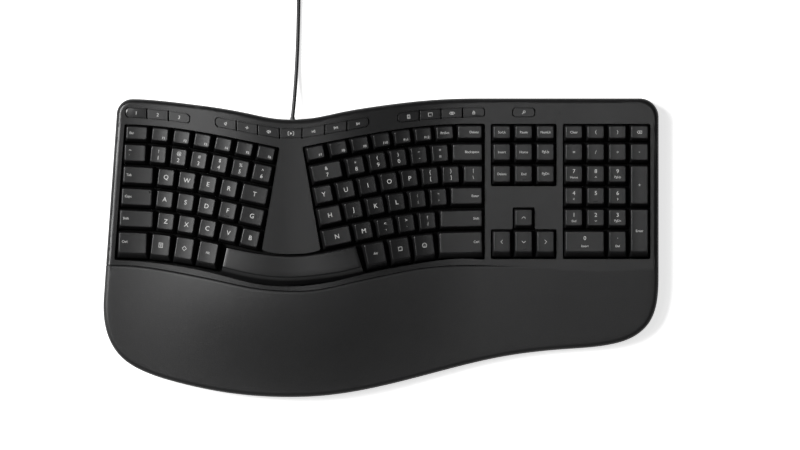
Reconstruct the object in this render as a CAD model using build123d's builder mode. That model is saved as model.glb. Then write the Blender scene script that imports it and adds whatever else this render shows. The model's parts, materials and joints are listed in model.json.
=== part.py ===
from build123d import *
import math
import os

# Ergonomic keyboard: a gull-wing case with a soft palm rest, two fanned key banks,
# a curved space bar, navigation and number blocks, hot keys and a corded plug.
# +X is to the user's right, +Y to the rear, +Z up; the origin is at the middle of the
# footprint on the desk. Plan places are shares of the key pitch. All sizes are in millimetres.

os.makedirs("parts", exist_ok=True)

# Key sizes
PITCH = 19.05
SIDE_DRAFT = 1.9
REAR_DRAFT = 1.4
FRONT_DRAFT = 3.1
LAST_ROW_FRONT_DRAFT = 5.6
FACE_DEPTH = 13.8
FUNCTION_FACE_DEPTH = 10.5
LAST_ROW_FACE_DEPTH = 17.7
KEY_HEIGHT = 7.4
KEY_RISE = 4.0
KEY_WALL = 1.2
KEY_CORNER = 1.3
KEY_TRAVEL = 2.8
STEM_WIDTH = 4.4
WELL_GAP = 0.8
WELL_CORNER = 1.6

# Case sizes
DECK_EDGE_HEIGHT = 18.0
CROWN_RISE = 17.2
DECK_WALL = 2.2
SIDE_WALL = 2.2
RIM_RADIUS = 4.6
PARTING_HEIGHT = 5.4
BASE_LIFT = 1.6
FLOOR_WALL = 2.0
BASE_CHAMFER = 2.4
SEAM_GAP = 0.35
SEAM_BEVEL = 0.5

# Palm rest sizes
PAD_THICKNESS = 4.0
PAD_SKIRT = 3.0
PAD_RIM_RADIUS = 4.4
TRAY_WALL = 2.0
SOFT_CLEARANCE = 0.3

# Switch stack sizes, as depths under the deck and thicknesses
FRAME_DEPTH = 7.0
FRAME_WALL = 2.0
STEM_CLEARANCE = 0.5
STEM_END_DEPTH = 9.0
DOME_HEIGHT = 2.4
DOME_WIDTH = 7.4
DOME_TAPER = 22
DOME_SHEET_WALL = 0.4
MEMBRANE_DEPTH = 12.3
MEMBRANE_WALL = 0.6
PLATE_WALL = 0.8
TAIL_WIDTH = 12.0
TAIL_WALL = 0.3
TAIL_OUT = 1.0
TAIL_GRIP = 2.0
BOSS_OPENING = 10.0
COLLAR_WIDTH = 12.6

# Hot key sizes
HOT_KEY_DEPTH = 8.4
HOT_KEY_GAP = 0.45
HOT_KEY_PROUD = 0.2
HOT_KEY_HEIGHT = 5.6
HOT_KEY_FLANGE = 1.0
HOT_KEY_FLANGE_WALL = 1.0
HOT_KEY_FLANGE_GAP = 0.3
HOT_KEY_CORNER = 2.0

# Screw, boss, rib and foot sizes
BOSS_DIAMETER = 7.0
BOSS_SEAT_HEIGHT = 7.8
SCREW_DIAMETER = 2.6
SCREW_FIT = 0.1
SCREW_HEAD_DIAMETER = 5.2
SCREW_HEAD_HEIGHT = 1.7
SCREW_GRIP = 5.4
HEAD_POCKET_FIT = 0.4
HEAD_POCKET_WALL = 1.6
RIB_WALL = 1.8
FOOT_DIAMETER = 12.0
FOOT_RECESS = 0.5
FOOT_FIT = 0.4

# Tilt leg sizes
LEG_WIDTH = 42.0
LEG_LENGTH = 17.0
LEG_WALL = 3.0
LEG_KNUCKLE = 3.8
LEG_CLEARANCE = 0.6
LEG_TIP_CORNER = 4.0
LEG_TIP_EDGE = 1.0
LEG_PIN_DIAMETER = 2.2
LEG_PIN_LENGTH = 2.3
LEG_PIN_FIT = 0.05
LEG_AXIS_HEIGHT = 4.1
FINGER_ROOM = 3.0
POCKET_WALL = 2.2
POCKET_ROOF = 1.6

# Controller board sizes
BOARD_WIDTH = 62.0
BOARD_DEPTH = 30.0
BOARD_WALL = 1.6
BOARD_HEIGHT = 9.0
BOARD_POST_WIDTH = 5.0
CHIP_WIDTH = 9.0
CHIP_HEIGHT = 1.6
SOCKET_WIDTH = 16.0
SOCKET_DEPTH = 6.0
SOCKET_HEIGHT = 4.0

# Cord sizes
CORD_DIAMETER = 3.3
CORD_EXIT_HEIGHT = 9.5
CORD_END_RUN = 3.3
RELIEF_FLANGE_DIAMETER = 8.0
RELIEF_NECK_DIAMETER = 4.6
RELIEF_TIP_DIAMETER = 3.7
RELIEF_OUT = 2.5
RELIEF_FLANGE_WALL = 1.6
RELIEF_FLANGE_GAP = 0.1
RELIEF_HOLE_FIT = 0.1
COIL_OUTER_RADIUS = 26.3
COIL_PITCH = 3.8
COIL_CLIMB_STEP = 2.3
COIL_HALF_TURNS = 7
COIL_LAYERS = 4
COIL_LIFT = 1.15
TIE_WALL = 0.8
TIE_WIDTH = 7.0
TIE_GAP = 0.3
TUBE_SIDES = 6
CORD_STEP = 10.0
PLUG_GRIP_LENGTH = 26.0
PLUG_GRIP_WIDTH = 15.6
PLUG_GRIP_HEIGHT = 8.0
PLUG_SHELL_LENGTH = 18.8
PLUG_SHELL_WIDTH = 12.0
PLUG_SHELL_HEIGHT = 4.5
PLUG_SHELL_WALL = 0.4
PLUG_TONGUE_HEIGHT = 1.8

# Tools for cutting and building
TALL = 60.0
REACH = 320.0
OVERRUN = 0.5
OUTLINE_STEPS = 24

# Indicator lens sizes
LENS_WIDTH = 1.1
LENS_INSET = 1.5
LENS_PROUD = 0.05

# The crown runs along the keyboard as one cosine swell, in shares of the pitch
CROWN_PEAK_SHARE = -4.07
CROWN_REACH_SHARE = 8.66

# The case outline, as shares of the pitch
REAR_EDGE_SHARES = [
    (-11.40, 6.82), (-10.10, 6.74), (-8.72, 6.58), (-7.35, 6.39), (-5.98, 6.13),
    (-5.05, 5.94), (-4.00, 5.87), (-3.05, 5.95), (-1.85, 6.20), (-0.48, 6.44),
    (0.90, 6.63), (2.27, 6.77), (3.64, 6.84), (4.60, 6.85),
]
REAR_RIGHT_CORNER_SHARES = [(11.87, 6.85), (12.73, 5.99)]
FRONT_EDGE_SHARES = [
    (12.73, -1.10), (12.66, -2.45), (12.33, -3.40), (11.60, -4.08), (10.50, -4.45),
    (8.45, -4.66), (5.70, -4.98), (2.95, -5.61), (0.20, -6.31), (-2.55, -6.78),
    (-4.60, -6.85), (-6.65, -6.71), (-9.40, -6.17), (-10.79, -5.72), (-11.93, -5.01),
    (-12.48, -4.17), (-12.70, -3.30), (-12.72, -2.30),
]
END_PULL_SHARES = (1, 1)
LEFT_LEAN_SHARE = (0.0708, 1)
REAR_LEFT_CORNER_SHARES = [(-12.125, 6.10), (-11.40, 6.82)]

# The seam between the deck and the palm rest
SEAM_SHARES = [
    (-13.4, -0.79), (-12.5, -0.80), (-11.2, -0.85), (-9.26, -1.14), (-7.32, -1.53),
    (-5.66, -1.87), (-4.40, -1.98), (-3.09, -1.95), (-1.56, -1.65), (0.28, -1.25),
    (1.82, -0.96), (3.05, -0.84), (4.40, -0.815), (13.4, -0.815),
]

# Sections of the palm rest: plan place, then flat height and crown as shares of the deck's
PALM_SECTION_SHARES = [
    (-0.70, 1.0, 1.0), (-2.0, 0.95, 1.055), (-3.95, 0.83, 0.83), (-7.0, 0.62, 0.37),
]

# Rows of the left bank: rear-most height in plan, and how much the row bends
LEFT_ROW_SHARES = {
    "function": (5.27, 0.94), "digit": (4.353, 0.965), "top": (3.345, 0.99),
    "home": (2.344, 1.02), "bottom": (1.345, 1.045), "modifier": (0.225, 1.015),
}
RIGHT_ROW_SHARES = {
    "function": (5.295, 0.89), "digit": (4.374, 0.929), "top": (3.371, 0.935),
    "home": (2.372, 0.95), "bottom": (1.333, 0.951), "modifier": (0.235, 1.026),
}
# The bend of a row line starts at one place and reaches its full slope at another
LEFT_BEND_SHARES = (-12.05, -5.95, 0.2215)
RIGHT_BEND_SHARES = (4.1, -2.1, 0.222)

# Key faces of the left bank: place along the row and width
LEFT_KEY_SHARES = {
    "escape_key": ("function", [(-11.18, 0.93)]),
    "left_function_keys": ("function", [
        (-10.11, 0.72), (-9.12, 0.72), (-8.17, 0.71), (-7.21, 0.71), (-6.24, 0.72),
        (-5.25, 0.74)]),
    "left_digit_keys": ("digit", [
        (-11.26, 0.94), (-10.19, 0.69), (-9.26, 0.69), (-8.33, 0.69), (-7.39, 0.70),
        (-6.43, 0.71), (-5.43, 0.80)]),
    "tab_key": ("top", [(-11.12, 1.34)]),
    "left_top_letter_keys": ("top", [
        (-9.84, 0.72), (-8.88, 0.72), (-7.91, 0.72), (-6.95, 0.71), (-5.77, 1.16)]),
    "caps_lock_key": ("home", [(-11.18, 1.37)]),
    "left_home_letter_keys": ("home", [
        (-9.90, 0.72), (-8.94, 0.72), (-7.98, 0.72), (-7.00, 0.73), (-5.89, 1.02)]),
    "left_shift_key": ("bottom", [(-11.20, 1.50)]),
    "left_bottom_letter_keys": ("bottom", [
        (-9.85, 0.72), (-8.90, 0.71), (-7.94, 0.72), (-6.97, 0.73), (-5.97, 0.78)]),
    "left_modifier_keys": ("modifier", [
        (-11.37, 1.27), (-10.08, 0.83), (-9.00, 0.81), (-7.92, 0.85)]),
}
RIGHT_KEY_SHARES = {
    "right_function_keys": ("function", [
        (-2.976, 0.74), (-1.934, 0.74), (-0.938, 0.73), (0.047, 0.72), (1.00, 0.70),
        (1.952, 0.71), (2.93, 0.74), (4.078, 1.06)]),
    "right_digit_keys": ("digit", [
        (-2.47, 1.34), (-1.144, 0.74), (-0.141, 0.73), (0.807, 0.70), (1.75, 0.69),
        (2.715, 0.71)]),
    "backspace_key": ("digit", [(3.97, 1.31)]),
    "right_top_letter_keys": ("top", [
        (-2.610, 0.75), (-1.598, 0.75), (-0.594, 0.74), (0.385, 0.71), (1.32, 0.69),
        (2.263, 0.70), (3.211, 0.72), (4.228, 0.80)]),
    "right_home_letter_keys": ("home", [
        (-2.324, 0.98), (-1.236, 0.74), (-0.24, 0.73), (0.725, 0.71), (1.69, 0.70),
        (2.646, 0.71)]),
    "enter_key": ("home", [(3.93, 1.38)]),
    "right_bottom_letter_keys": ("bottom", [
        (-2.003, 1.24), (-0.778, 0.74), (0.218, 0.72), (1.18, 0.70), (2.142, 0.71)]),
    "right_shift_key": ("bottom", [(3.685, 1.88)]),
    "right_modifier_keys": ("modifier", [
        (-0.24, 0.88), (0.889, 0.85), (1.998, 0.87), (3.665, 1.93)]),
}

# Straight blocks: columns and rows of face centres
NAVIGATION_COLUMN_SHARES = (5.54, 6.54, 7.54)
NUMBER_COLUMN_SHARES = (8.84, 9.84, 10.84, 11.84)
STRAIGHT_ROW_SHARES = (5.29, 4.38, 3.376, 2.373, 1.374, 0.271)
STRAIGHT_FACE_SHARE = 0.74
ARROW_COLUMN_SHARE = 6.54
MAIN_WELL_RIGHT_SHARE = 4.765

# The main well's left wall, the two walls of the island and the front wall
WELL_LEFT_SHARES = [(-12.23, -0.57), (-11.775, 5.70)]
ISLAND_SHARES = [
    (-4.63, 4.66), (-5.44, -0.10), (-4.9, -0.24), (-4.15, -0.285), (-3.4, -0.25),
    (-2.77, -0.10), (-3.60, 4.66),
]
WELL_FRONT_SHARES = [
    (4.765, -0.57), (2.55, -0.60), (1.55, -0.76), (0.41, -0.96), (-0.70, -1.195),
    (-2.25, -1.565), (-4.10, -1.78), (-5.75, -1.65), (-7.42, -1.24), (-8.52, -0.99),
    (-10.60, -0.68),
]

# Space bar stations: rear edge and front edge of the face, in plan
SPACE_BAR_SHARES = [
    ((-7.05, 0.01), (-7.25, -0.905)), ((-6.25, -0.155), (-6.50, -1.10)),
    ((-5.30, -0.31), (-5.45, -1.30)), ((-4.15, -0.40), (-4.15, -1.385)),
    ((-3.00, -0.305), (-2.85, -1.29)), ((-2.05, -0.13), (-1.80, -1.13)),
    ((-1.15, 0.06), (-0.86, -0.90)),
]
SPACE_BAR_FRONT_DRAFT = 6.0
SPACE_BAR_REAR_DRAFT = 0.8

# Hot keys: the group's centre line, with one point on each end and divider
HOT_KEY_SHARES = {
    "favourite_keys": [(-11.71, 6.20), (-10.72, 6.14), (-9.73, 6.04), (-8.75, 5.90)],
    "media_keys": [
        (-7.58, 5.76), (-6.61, 5.58), (-5.63, 5.39), (-4.63, 5.22), (-3.60, 5.23),
        (-2.56, 5.40), (-1.55, 5.58), (-0.56, 5.76)],
    "tool_keys": [(0.77, 5.94), (1.76, 6.06), (2.76, 6.14), (3.75, 6.185), (4.75, 6.21)],
    "search_key": [(6.03, 6.20), (7.05, 6.20)],
}

# Outline of the switch stack, screw places, rib places, foot places and leg places
STACK_SHARES = [
    (-11.80, 6.45), (-8.70, 6.30), (-6.00, 5.86), (-4.60, 5.56), (-3.60, 5.56), (-2.00, 5.88),
    (1.00, 6.38), (4.00, 6.52), (12.40, 6.52), (12.45, -0.52), (4.80, -0.52),
    (2.40, -0.58), (-0.70, -1.06), (-2.30, -1.44), (-4.10, -1.66), (-5.70, -1.52),
    (-7.40, -1.12), (-9.50, -0.74), (-12.30, -0.50),
]
BOARD_PLACE_SHARE = 4.4
DECK_SCREW_SHARES = [
    (-8.16, 6.12), (0.10, 6.08), (5.38, 6.16), (10.0, 6.16), (6.54, 2.36),
    (-4.08, 3.10), (-4.08, 0.62),
]
PALM_SCREW_SHARES = [(-10.9, -3.2), (-4.08, -5.0), (2.2, -3.4), (10.8, -2.6)]
RIB_SHARES = [
    (-10.6, -0.2, 5.9), (-8.6, -0.3, 5.6), (-6.6, -0.5, 5.4), (-1.4, -0.4, 5.4), (1.4, -0.2, 5.9),
    (4.4, -0.2, 6.1), (8.2, -0.2, 6.1), (11.5, -0.2, 5.4),
]
FOOT_SHARES = [
    (-11.1, 6.0), (11.75, 6.0), (-11.2, -4.3), (11.3, -2.9), (-4.1, -6.0), (3.0, 5.9),
]
LEG_SHARES = {"left_tilt_leg": (-8.6, -4.0), "right_tilt_leg": (8.2, -3.0)}

# The cord's free run, by hand, from the strain relief to the coil
CORD_ROUTE = [
    (-77.3, 114.4, 9.5), (-76.6, 120.0, 9.4), (-75.4, 134.0, 6.6), (-74.2, 152.0, 3.0),
    (-73.0, 176.0, 1.75), (-72.2, 206.0, 1.75), (-72.0, 232.0, 2.4), (-72.0, 246.7, 2.8),
]
# The cord's tail from the coil down to the plug, counted from the coil's middle
TAIL_ROUTE = [
    (25.1, 10.0, 14.2), (25.2, 21.0, 14.15), (22.0, 32.0, 11.4), (13.0, 40.5, 7.6),
    (0.5, 44.5, 5.0), (-10.5, 45.0, 4.1),
]

# Depths that follow from the sizes above
SHEET_DEPTH = MEMBRANE_DEPTH - DOME_SHEET_WALL
PLATE_DEPTH = MEMBRANE_DEPTH + MEMBRANE_WALL
PLATE_BOTTOM_DEPTH = PLATE_DEPTH + PLATE_WALL
FLOOR_TOP = BASE_LIFT + FLOOR_WALL
COIL_LEVEL = CORD_DIAMETER / 2 + COIL_LIFT
COIL_MIDDLE = (CORD_ROUTE[-1][0] - COIL_OUTER_RADIUS, CORD_ROUTE[-1][1] + CORD_END_RUN)


def crown_rise(x):
    """How far the crown stands above the deck's flat ends."""
    off = abs(x - CROWN_PEAK_SHARE * PITCH) / (CROWN_REACH_SHARE * PITCH)
    return CROWN_RISE * (1 + math.cos(math.pi * min(off, 1))) / 2


def crown_slope(x):
    """The slope of the crown along the keyboard."""
    reach = CROWN_REACH_SHARE * PITCH
    off = max(-1, min(1, (x - CROWN_PEAK_SHARE * PITCH) / reach))
    return -CROWN_RISE * math.pi / (2 * reach) * math.sin(math.pi * off)


def deck_height(x):
    """The deck's height over the desk."""
    return DECK_EDGE_HEIGHT + crown_rise(x)


def plan(shares):
    """Plan points from shares of the pitch."""
    return [(x * PITCH, y * PITCH) for x, y in shares]


def row_line(bank, row, x_share):
    """Height in plan and turn of a key row at a place along it."""
    rows, bends = (LEFT_ROW_SHARES, LEFT_BEND_SHARES) if bank == "left" else (RIGHT_ROW_SHARES, RIGHT_BEND_SHARES)
    height, bend = rows[row]
    start, full, slope = bends
    length = abs(full - start)
    along = abs(x_share - start) if (x_share - start) * (full - start) > 0 else 0
    phase = math.pi / 2 * min(along / length, 1)
    drop = 2 * length / math.pi * (1 - math.cos(phase)) + max(along - length, 0)
    turn = math.atan(bend * slope * math.sin(phase))
    return height - bend * slope * drop, -turn if bank == "left" else turn


def face_plane(x_share, y_share, turn=0.0):
    """The plane of a key's face: its origin is the face's middle, its z axis is square to the crown."""
    x = x_share * PITCH
    slope = crown_slope(x)
    normal = Vector(-slope, 0, 1).normalized()
    along = Vector(math.cos(turn), math.sin(turn), slope * math.cos(turn))
    height = deck_height(x - KEY_RISE * normal.X) + KEY_RISE * normal.Z
    return Plane(origin=(x, y_share * PITCH, height), x_dir=along, z_dir=normal)


def profile(depth):
    """The crown's smooth section, a depth under the deck."""
    count = 48
    return [(x, deck_height(x) - depth) for x in (REACH * (2 * n / count - 1) for n in range(count + 1))]


# Every key: its group, face plane, face width, face depth and front draft
keys = []
for bank, groups in (("left", LEFT_KEY_SHARES), ("right", RIGHT_KEY_SHARES)):
    for group, (row, places) in groups.items():
        depth = FUNCTION_FACE_DEPTH if row == "function" else FACE_DEPTH
        draft = FRONT_DRAFT
        if row == "modifier":
            depth, draft = LAST_ROW_FACE_DEPTH, LAST_ROW_FRONT_DRAFT
        for x_share, width_share in places:
            y_share, turn = row_line(bank, row, x_share)
            keys.append((group, face_plane(x_share, y_share, turn), width_share * PITCH, depth, draft))

STRAIGHT_GROUPS = {
    "lock_keys": (NAVIGATION_COLUMN_SHARES, 0), "insert_row_keys": (NAVIGATION_COLUMN_SHARES, 1),
    "delete_row_keys": (NAVIGATION_COLUMN_SHARES, 2), "arrow_keys": (NAVIGATION_COLUMN_SHARES, 5),
    "number_clear_row_keys": (NUMBER_COLUMN_SHARES, 0), "number_operator_keys": (NUMBER_COLUMN_SHARES, 1),
    "number_seven_row_keys": (NUMBER_COLUMN_SHARES[:3], 2), "number_four_row_keys": (NUMBER_COLUMN_SHARES[:3], 3),
    "number_one_row_keys": (NUMBER_COLUMN_SHARES[:3], 4), "number_zero_row_keys": (NUMBER_COLUMN_SHARES[2:3], 5),
}
for group, (columns, row) in STRAIGHT_GROUPS.items():
    depth = FUNCTION_FACE_DEPTH if row == 0 else FACE_DEPTH
    draft = FRONT_DRAFT
    if row == 5:
        depth, draft = LAST_ROW_FACE_DEPTH, LAST_ROW_FRONT_DRAFT
    for column in columns:
        plane = face_plane(column, STRAIGHT_ROW_SHARES[row])
        keys.append((group, plane, STRAIGHT_FACE_SHARE * PITCH, depth, draft))
keys.append((
    "arrow_keys", face_plane(ARROW_COLUMN_SHARE, STRAIGHT_ROW_SHARES[4]),
    STRAIGHT_FACE_SHARE * PITCH, FACE_DEPTH, FRONT_DRAFT))
keys.append((
    "number_zero_row_keys",
    face_plane((NUMBER_COLUMN_SHARES[0] + NUMBER_COLUMN_SHARES[1]) / 2, STRAIGHT_ROW_SHARES[5]),
    (NUMBER_COLUMN_SHARES[1] - NUMBER_COLUMN_SHARES[0] + STRAIGHT_FACE_SHARE) * PITCH,
    LAST_ROW_FACE_DEPTH, LAST_ROW_FRONT_DRAFT))
keys.append((
    "number_plus_key", face_plane(NUMBER_COLUMN_SHARES[3], (STRAIGHT_ROW_SHARES[2] + STRAIGHT_ROW_SHARES[3]) / 2),
    STRAIGHT_FACE_SHARE * PITCH,
    FACE_DEPTH + (STRAIGHT_ROW_SHARES[2] - STRAIGHT_ROW_SHARES[3]) * PITCH, FRONT_DRAFT))
enter_rear = STRAIGHT_ROW_SHARES[4] * PITCH + FACE_DEPTH / 2
enter_front = STRAIGHT_ROW_SHARES[5] * PITCH - LAST_ROW_FACE_DEPTH / 2
keys.append((
    "number_enter_key", face_plane(NUMBER_COLUMN_SHARES[3], (enter_rear + enter_front) / 2 / PITCH),
    STRAIGHT_FACE_SHARE * PITCH, enter_rear - enter_front, LAST_ROW_FRONT_DRAFT))

# Hot keys: the middle of each, for its stem and dome
hot_keys = []
for group, line in HOT_KEY_SHARES.items():
    for (x0, y0), (x1, y1) in zip(line, line[1:]):
        hot_keys.append((group, (x0 + x1) / 2, (y0 + y1) / 2))

# Stem places: every key's, two under the space bar's middle and ends, and the hot keys'
space_bar_stems = [face_plane(x, y) for x, y in ((-6.0, -0.62), (-4.15, -0.86), (-2.3, -0.60))]
stem_planes = [plane for _, plane, _, _, _ in keys] + space_bar_stems
hot_stem_planes = [
    Plane(origin=(x * PITCH, y * PITCH, deck_height(x * PITCH))) for _, x, y in hot_keys
]
STEM_REACH = KEY_RISE + STEM_END_DEPTH
LENS_KEYS = {"caps_lock_key": ("caps_lock_lens", (0,)), "lock_keys": ("lock_key_lenses", (0, 2))}


def lens_place(width, depth):
    """The middle of an indicator lens, at the right rear corner of a key's face."""
    return width / 2 - LENS_INSET - LENS_WIDTH / 2, depth / 2 - LENS_INSET - LENS_WIDTH / 2


def make_key_group(group):
    """Hollow tapered keycaps with chamfered corners and a square stem each."""
    with BuildPart() as caps:
        members = [key for key in keys if key[0] == group]
        for place, (_, plane, width, depth, front_draft) in enumerate(members):
            base_width = width + 2 * SIDE_DRAFT
            base_depth = depth + REAR_DRAFT + front_draft
            base_shift = (REAR_DRAFT - front_draft) / 2
            with BuildSketch(plane) as face:
                Rectangle(width, depth)
                chamfer(face.vertices(), KEY_CORNER)
            with BuildSketch(plane.offset(-KEY_HEIGHT)) as skirt:
                with Locations((0, base_shift)):
                    Rectangle(base_width, base_depth)
                chamfer(skirt.vertices(), KEY_CORNER)
            loft()
            with BuildSketch(plane.offset(-KEY_WALL)):
                with Locations((0, base_shift / 4)):
                    Rectangle(width - KEY_WALL, depth - KEY_WALL)
            with BuildSketch(plane.offset(-KEY_HEIGHT)):
                with Locations((0, base_shift)):
                    Rectangle(base_width - 2 * KEY_WALL, base_depth - 2 * KEY_WALL)
            loft(mode=Mode.SUBTRACT)
            with BuildSketch(plane.offset(-KEY_WALL)):
                Rectangle(STEM_WIDTH, STEM_WIDTH)
            extrude(amount=KEY_WALL - STEM_REACH)
            if group in LENS_KEYS and place in LENS_KEYS[group][1]:
                with BuildSketch(plane):
                    with Locations(lens_place(width, depth)):
                        Rectangle(LENS_WIDTH, LENS_WIDTH)
                extrude(amount=-2 * KEY_WALL, mode=Mode.SUBTRACT)
    caps.part.label = group
    export_step(caps.part, f"parts/{group}.step")


def make_lenses(group):
    """Clear indicator lenses set in the faces of a key group."""
    label, places = LENS_KEYS[group]
    with BuildPart() as lenses:
        members = [key for key in keys if key[0] == group]
        for place in places:
            _, plane, width, depth, _ = members[place]
            with BuildSketch(plane.offset(LENS_PROUD)):
                with Locations(lens_place(width, depth)):
                    Rectangle(LENS_WIDTH, LENS_WIDTH)
        extrude(amount=-KEY_WALL - LENS_PROUD)
    lenses.part.label = label
    export_step(lenses.part, f"parts/{label}.step")


for group in dict.fromkeys(key[0] for key in keys):
    make_key_group(group)
for group in LENS_KEYS:
    make_lenses(group)

# The space bar: one curved, arched bar over the crown
with BuildPart() as space_bar:
    for (rear_x, rear_y), (front_x, front_y) in SPACE_BAR_SHARES:
        rear = Vector(rear_x * PITCH, rear_y * PITCH, 0)
        toward = Vector(front_x * PITCH, front_y * PITCH, 0) - rear
        level = deck_height((rear_x + front_x) / 2 * PITCH)
        section = Plane(origin=(rear.X, rear.Y, level), x_dir=toward, z_dir=toward.cross(Vector(0, 0, 1)))
        with BuildSketch(section):
            with BuildLine():
                Polyline(
                    (0, KEY_RISE), (toward.length, KEY_RISE),
                    (toward.length + SPACE_BAR_FRONT_DRAFT, KEY_RISE - KEY_HEIGHT),
                    (-SPACE_BAR_REAR_DRAFT, KEY_RISE - KEY_HEIGHT), close=True)
            make_face()
    loft()
    for (rear_x, rear_y), (front_x, front_y) in SPACE_BAR_SHARES[1:-1]:
        rear = Vector(rear_x * PITCH, rear_y * PITCH, 0)
        toward = Vector(front_x * PITCH, front_y * PITCH, 0) - rear
        level = deck_height((rear_x + front_x) / 2 * PITCH)
        section = Plane(origin=(rear.X, rear.Y, level), x_dir=toward, z_dir=toward.cross(Vector(0, 0, 1)))
        with BuildSketch(section):
            with BuildLine():
                Polyline(
                    (KEY_WALL / 2, KEY_RISE - KEY_WALL), (toward.length - KEY_WALL / 2, KEY_RISE - KEY_WALL),
                    (toward.length + SPACE_BAR_FRONT_DRAFT - 2 * KEY_WALL, KEY_RISE - KEY_HEIGHT - OVERRUN),
                    (2 * KEY_WALL - SPACE_BAR_REAR_DRAFT, KEY_RISE - KEY_HEIGHT - OVERRUN), close=True)
            make_face()
    loft(mode=Mode.SUBTRACT)
    for plane in space_bar_stems:
        with BuildSketch(plane.offset(-KEY_WALL)):
            Rectangle(STEM_WIDTH, STEM_WIDTH)
    extrude(amount=KEY_WALL - STEM_REACH)
space_bar.part.label = "space_bar"
export_step(space_bar.part, "parts/space_bar.step")

# The case outline in plan, clockwise from the rear left
with BuildLine() as outline:
    rear_edge = Spline(*plan(REAR_EDGE_SHARES), tangents=[(1, 0), (1, 0)], tangent_scalars=END_PULL_SHARES)
    rear_line = Line(rear_edge @ 1, plan(REAR_RIGHT_CORNER_SHARES)[0])
    right_corner = TangentArc(rear_line @ 1, plan(REAR_RIGHT_CORNER_SHARES)[1], tangent=(1, 0))
    right_line = Line(right_corner @ 1, plan(FRONT_EDGE_SHARES)[0])
    front_edge = Spline(
        *plan(FRONT_EDGE_SHARES), tangents=[(0, -1), LEFT_LEAN_SHARE], tangent_scalars=END_PULL_SHARES)
    left_line = Line(front_edge @ 1, plan(REAR_LEFT_CORNER_SHARES)[0])


def drawn_in(edge, along, inset):
    """A point of an outline edge, drawn in square to the edge."""
    way = edge % along
    return edge @ along + Vector(way.Y, -way.X) * inset


def case_outline(inset):
    """The case outline as a face, drawn in by an inset."""
    rear_points = plan(REAR_EDGE_SHARES)
    front_points = plan(FRONT_EDGE_SHARES)
    if inset:
        rear_points = [drawn_in(rear_edge, n / OUTLINE_STEPS, inset) for n in range(OUTLINE_STEPS + 1)]
        front_points = [drawn_in(front_edge, n / OUTLINE_STEPS, inset) for n in range(OUTLINE_STEPS + 1)]
    with BuildSketch() as face:
        with BuildLine():
            rear = Spline(*rear_points, tangents=[(1, 0), (1, 0)], tangent_scalars=END_PULL_SHARES)
            rear_run = Line(rear @ 1, drawn_in(rear_line, 1, inset))
            corner = TangentArc(rear_run @ 1, drawn_in(right_line, 0, inset), tangent=(1, 0))
            right_run = Line(corner @ 1, drawn_in(right_line, 1, inset))
            front = Spline(
                right_run @ 1, *front_points[1:], tangents=[(0, -1), LEFT_LEAN_SHARE],
                tangent_scalars=END_PULL_SHARES)
            left_run = Line(front @ 1, drawn_in(left_line, 1, inset))
            TangentArc(rear @ 0, left_run @ 1, tangent=(-1, 0))
        make_face()
    return face.sketch


def seam_region(shift, behind):
    """The ground behind or before the seam, with the seam moved to the rear by a shift."""
    points = [(x, y + shift) for x, y in plan(SEAM_SHARES)]
    far = REACH if behind else -REACH
    with BuildSketch() as region:
        with BuildLine():
            seam = Spline(*points)
            Polyline(seam @ 1, (points[-1][0], far), (points[0][0], far), seam @ 0)
        make_face()
    return region.sketch


# The wells: openings of the deck round each block of keys
function_reach = (FUNCTION_FACE_DEPTH / 2 + REAR_DRAFT + WELL_GAP) / PITCH


def well_top(bank, x_shares):
    """Points of a bank well's rear edge, which follows the function row."""
    points = []
    for x_share in x_shares:
        y_share, turn = row_line(bank, "function", x_share)
        points.append((x_share - function_reach * math.sin(turn), y_share + function_reach * math.cos(turn)))
    return points


LEFT_WELL_TOP_SHARES = (-11.76, -10.4, -9.0, -7.6, -6.2, -4.71)
RIGHT_WELL_TOP_SHARES = (-3.525, -2.2, -0.8, 0.6, 2.0, 3.4, 4.765)
left_top = well_top("left", LEFT_WELL_TOP_SHARES)
right_top = well_top("right", RIGHT_WELL_TOP_SHARES)
block_half = STRAIGHT_FACE_SHARE * PITCH / 2 + SIDE_DRAFT + WELL_GAP
block_rear = STRAIGHT_ROW_SHARES[0] * PITCH + FUNCTION_FACE_DEPTH / 2 + REAR_DRAFT + WELL_GAP
block_front = STRAIGHT_ROW_SHARES[5] * PITCH - LAST_ROW_FACE_DEPTH / 2 - LAST_ROW_FRONT_DRAFT - WELL_GAP
navigation_front = STRAIGHT_ROW_SHARES[2] * PITCH - FACE_DEPTH / 2 - FRONT_DRAFT - WELL_GAP
arrow_rear = STRAIGHT_ROW_SHARES[5] * PITCH + LAST_ROW_FACE_DEPTH / 2 + REAR_DRAFT + WELL_GAP
arrow_top = STRAIGHT_ROW_SHARES[4] * PITCH + FACE_DEPTH / 2 + REAR_DRAFT + WELL_GAP
navigation_left = NAVIGATION_COLUMN_SHARES[0] * PITCH - block_half
navigation_right = NAVIGATION_COLUMN_SHARES[-1] * PITCH + block_half
number_left = NUMBER_COLUMN_SHARES[0] * PITCH - block_half
number_right = NUMBER_COLUMN_SHARES[-1] * PITCH + block_half
arrow_middle = ARROW_COLUMN_SHARE * PITCH

with BuildSketch() as main_well:
    with BuildLine():
        well_left = Spline(*plan(left_top))
        Polyline(well_left @ 1, *plan(ISLAND_SHARES[1:2]))
        Spline(*plan(ISLAND_SHARES[1:-1]))
        Line(plan(ISLAND_SHARES[-2:-1])[0], plan(right_top[:1])[0])
        well_right = Spline(*plan(right_top))
        Line(well_right @ 1, plan(WELL_FRONT_SHARES[:1])[0])
        well_front = Spline(*plan(WELL_FRONT_SHARES + WELL_LEFT_SHARES[:1]))
        Line(well_front @ 1, well_left @ 0)
    make_face()
    fillet(main_well.vertices(), WELL_CORNER)

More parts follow.
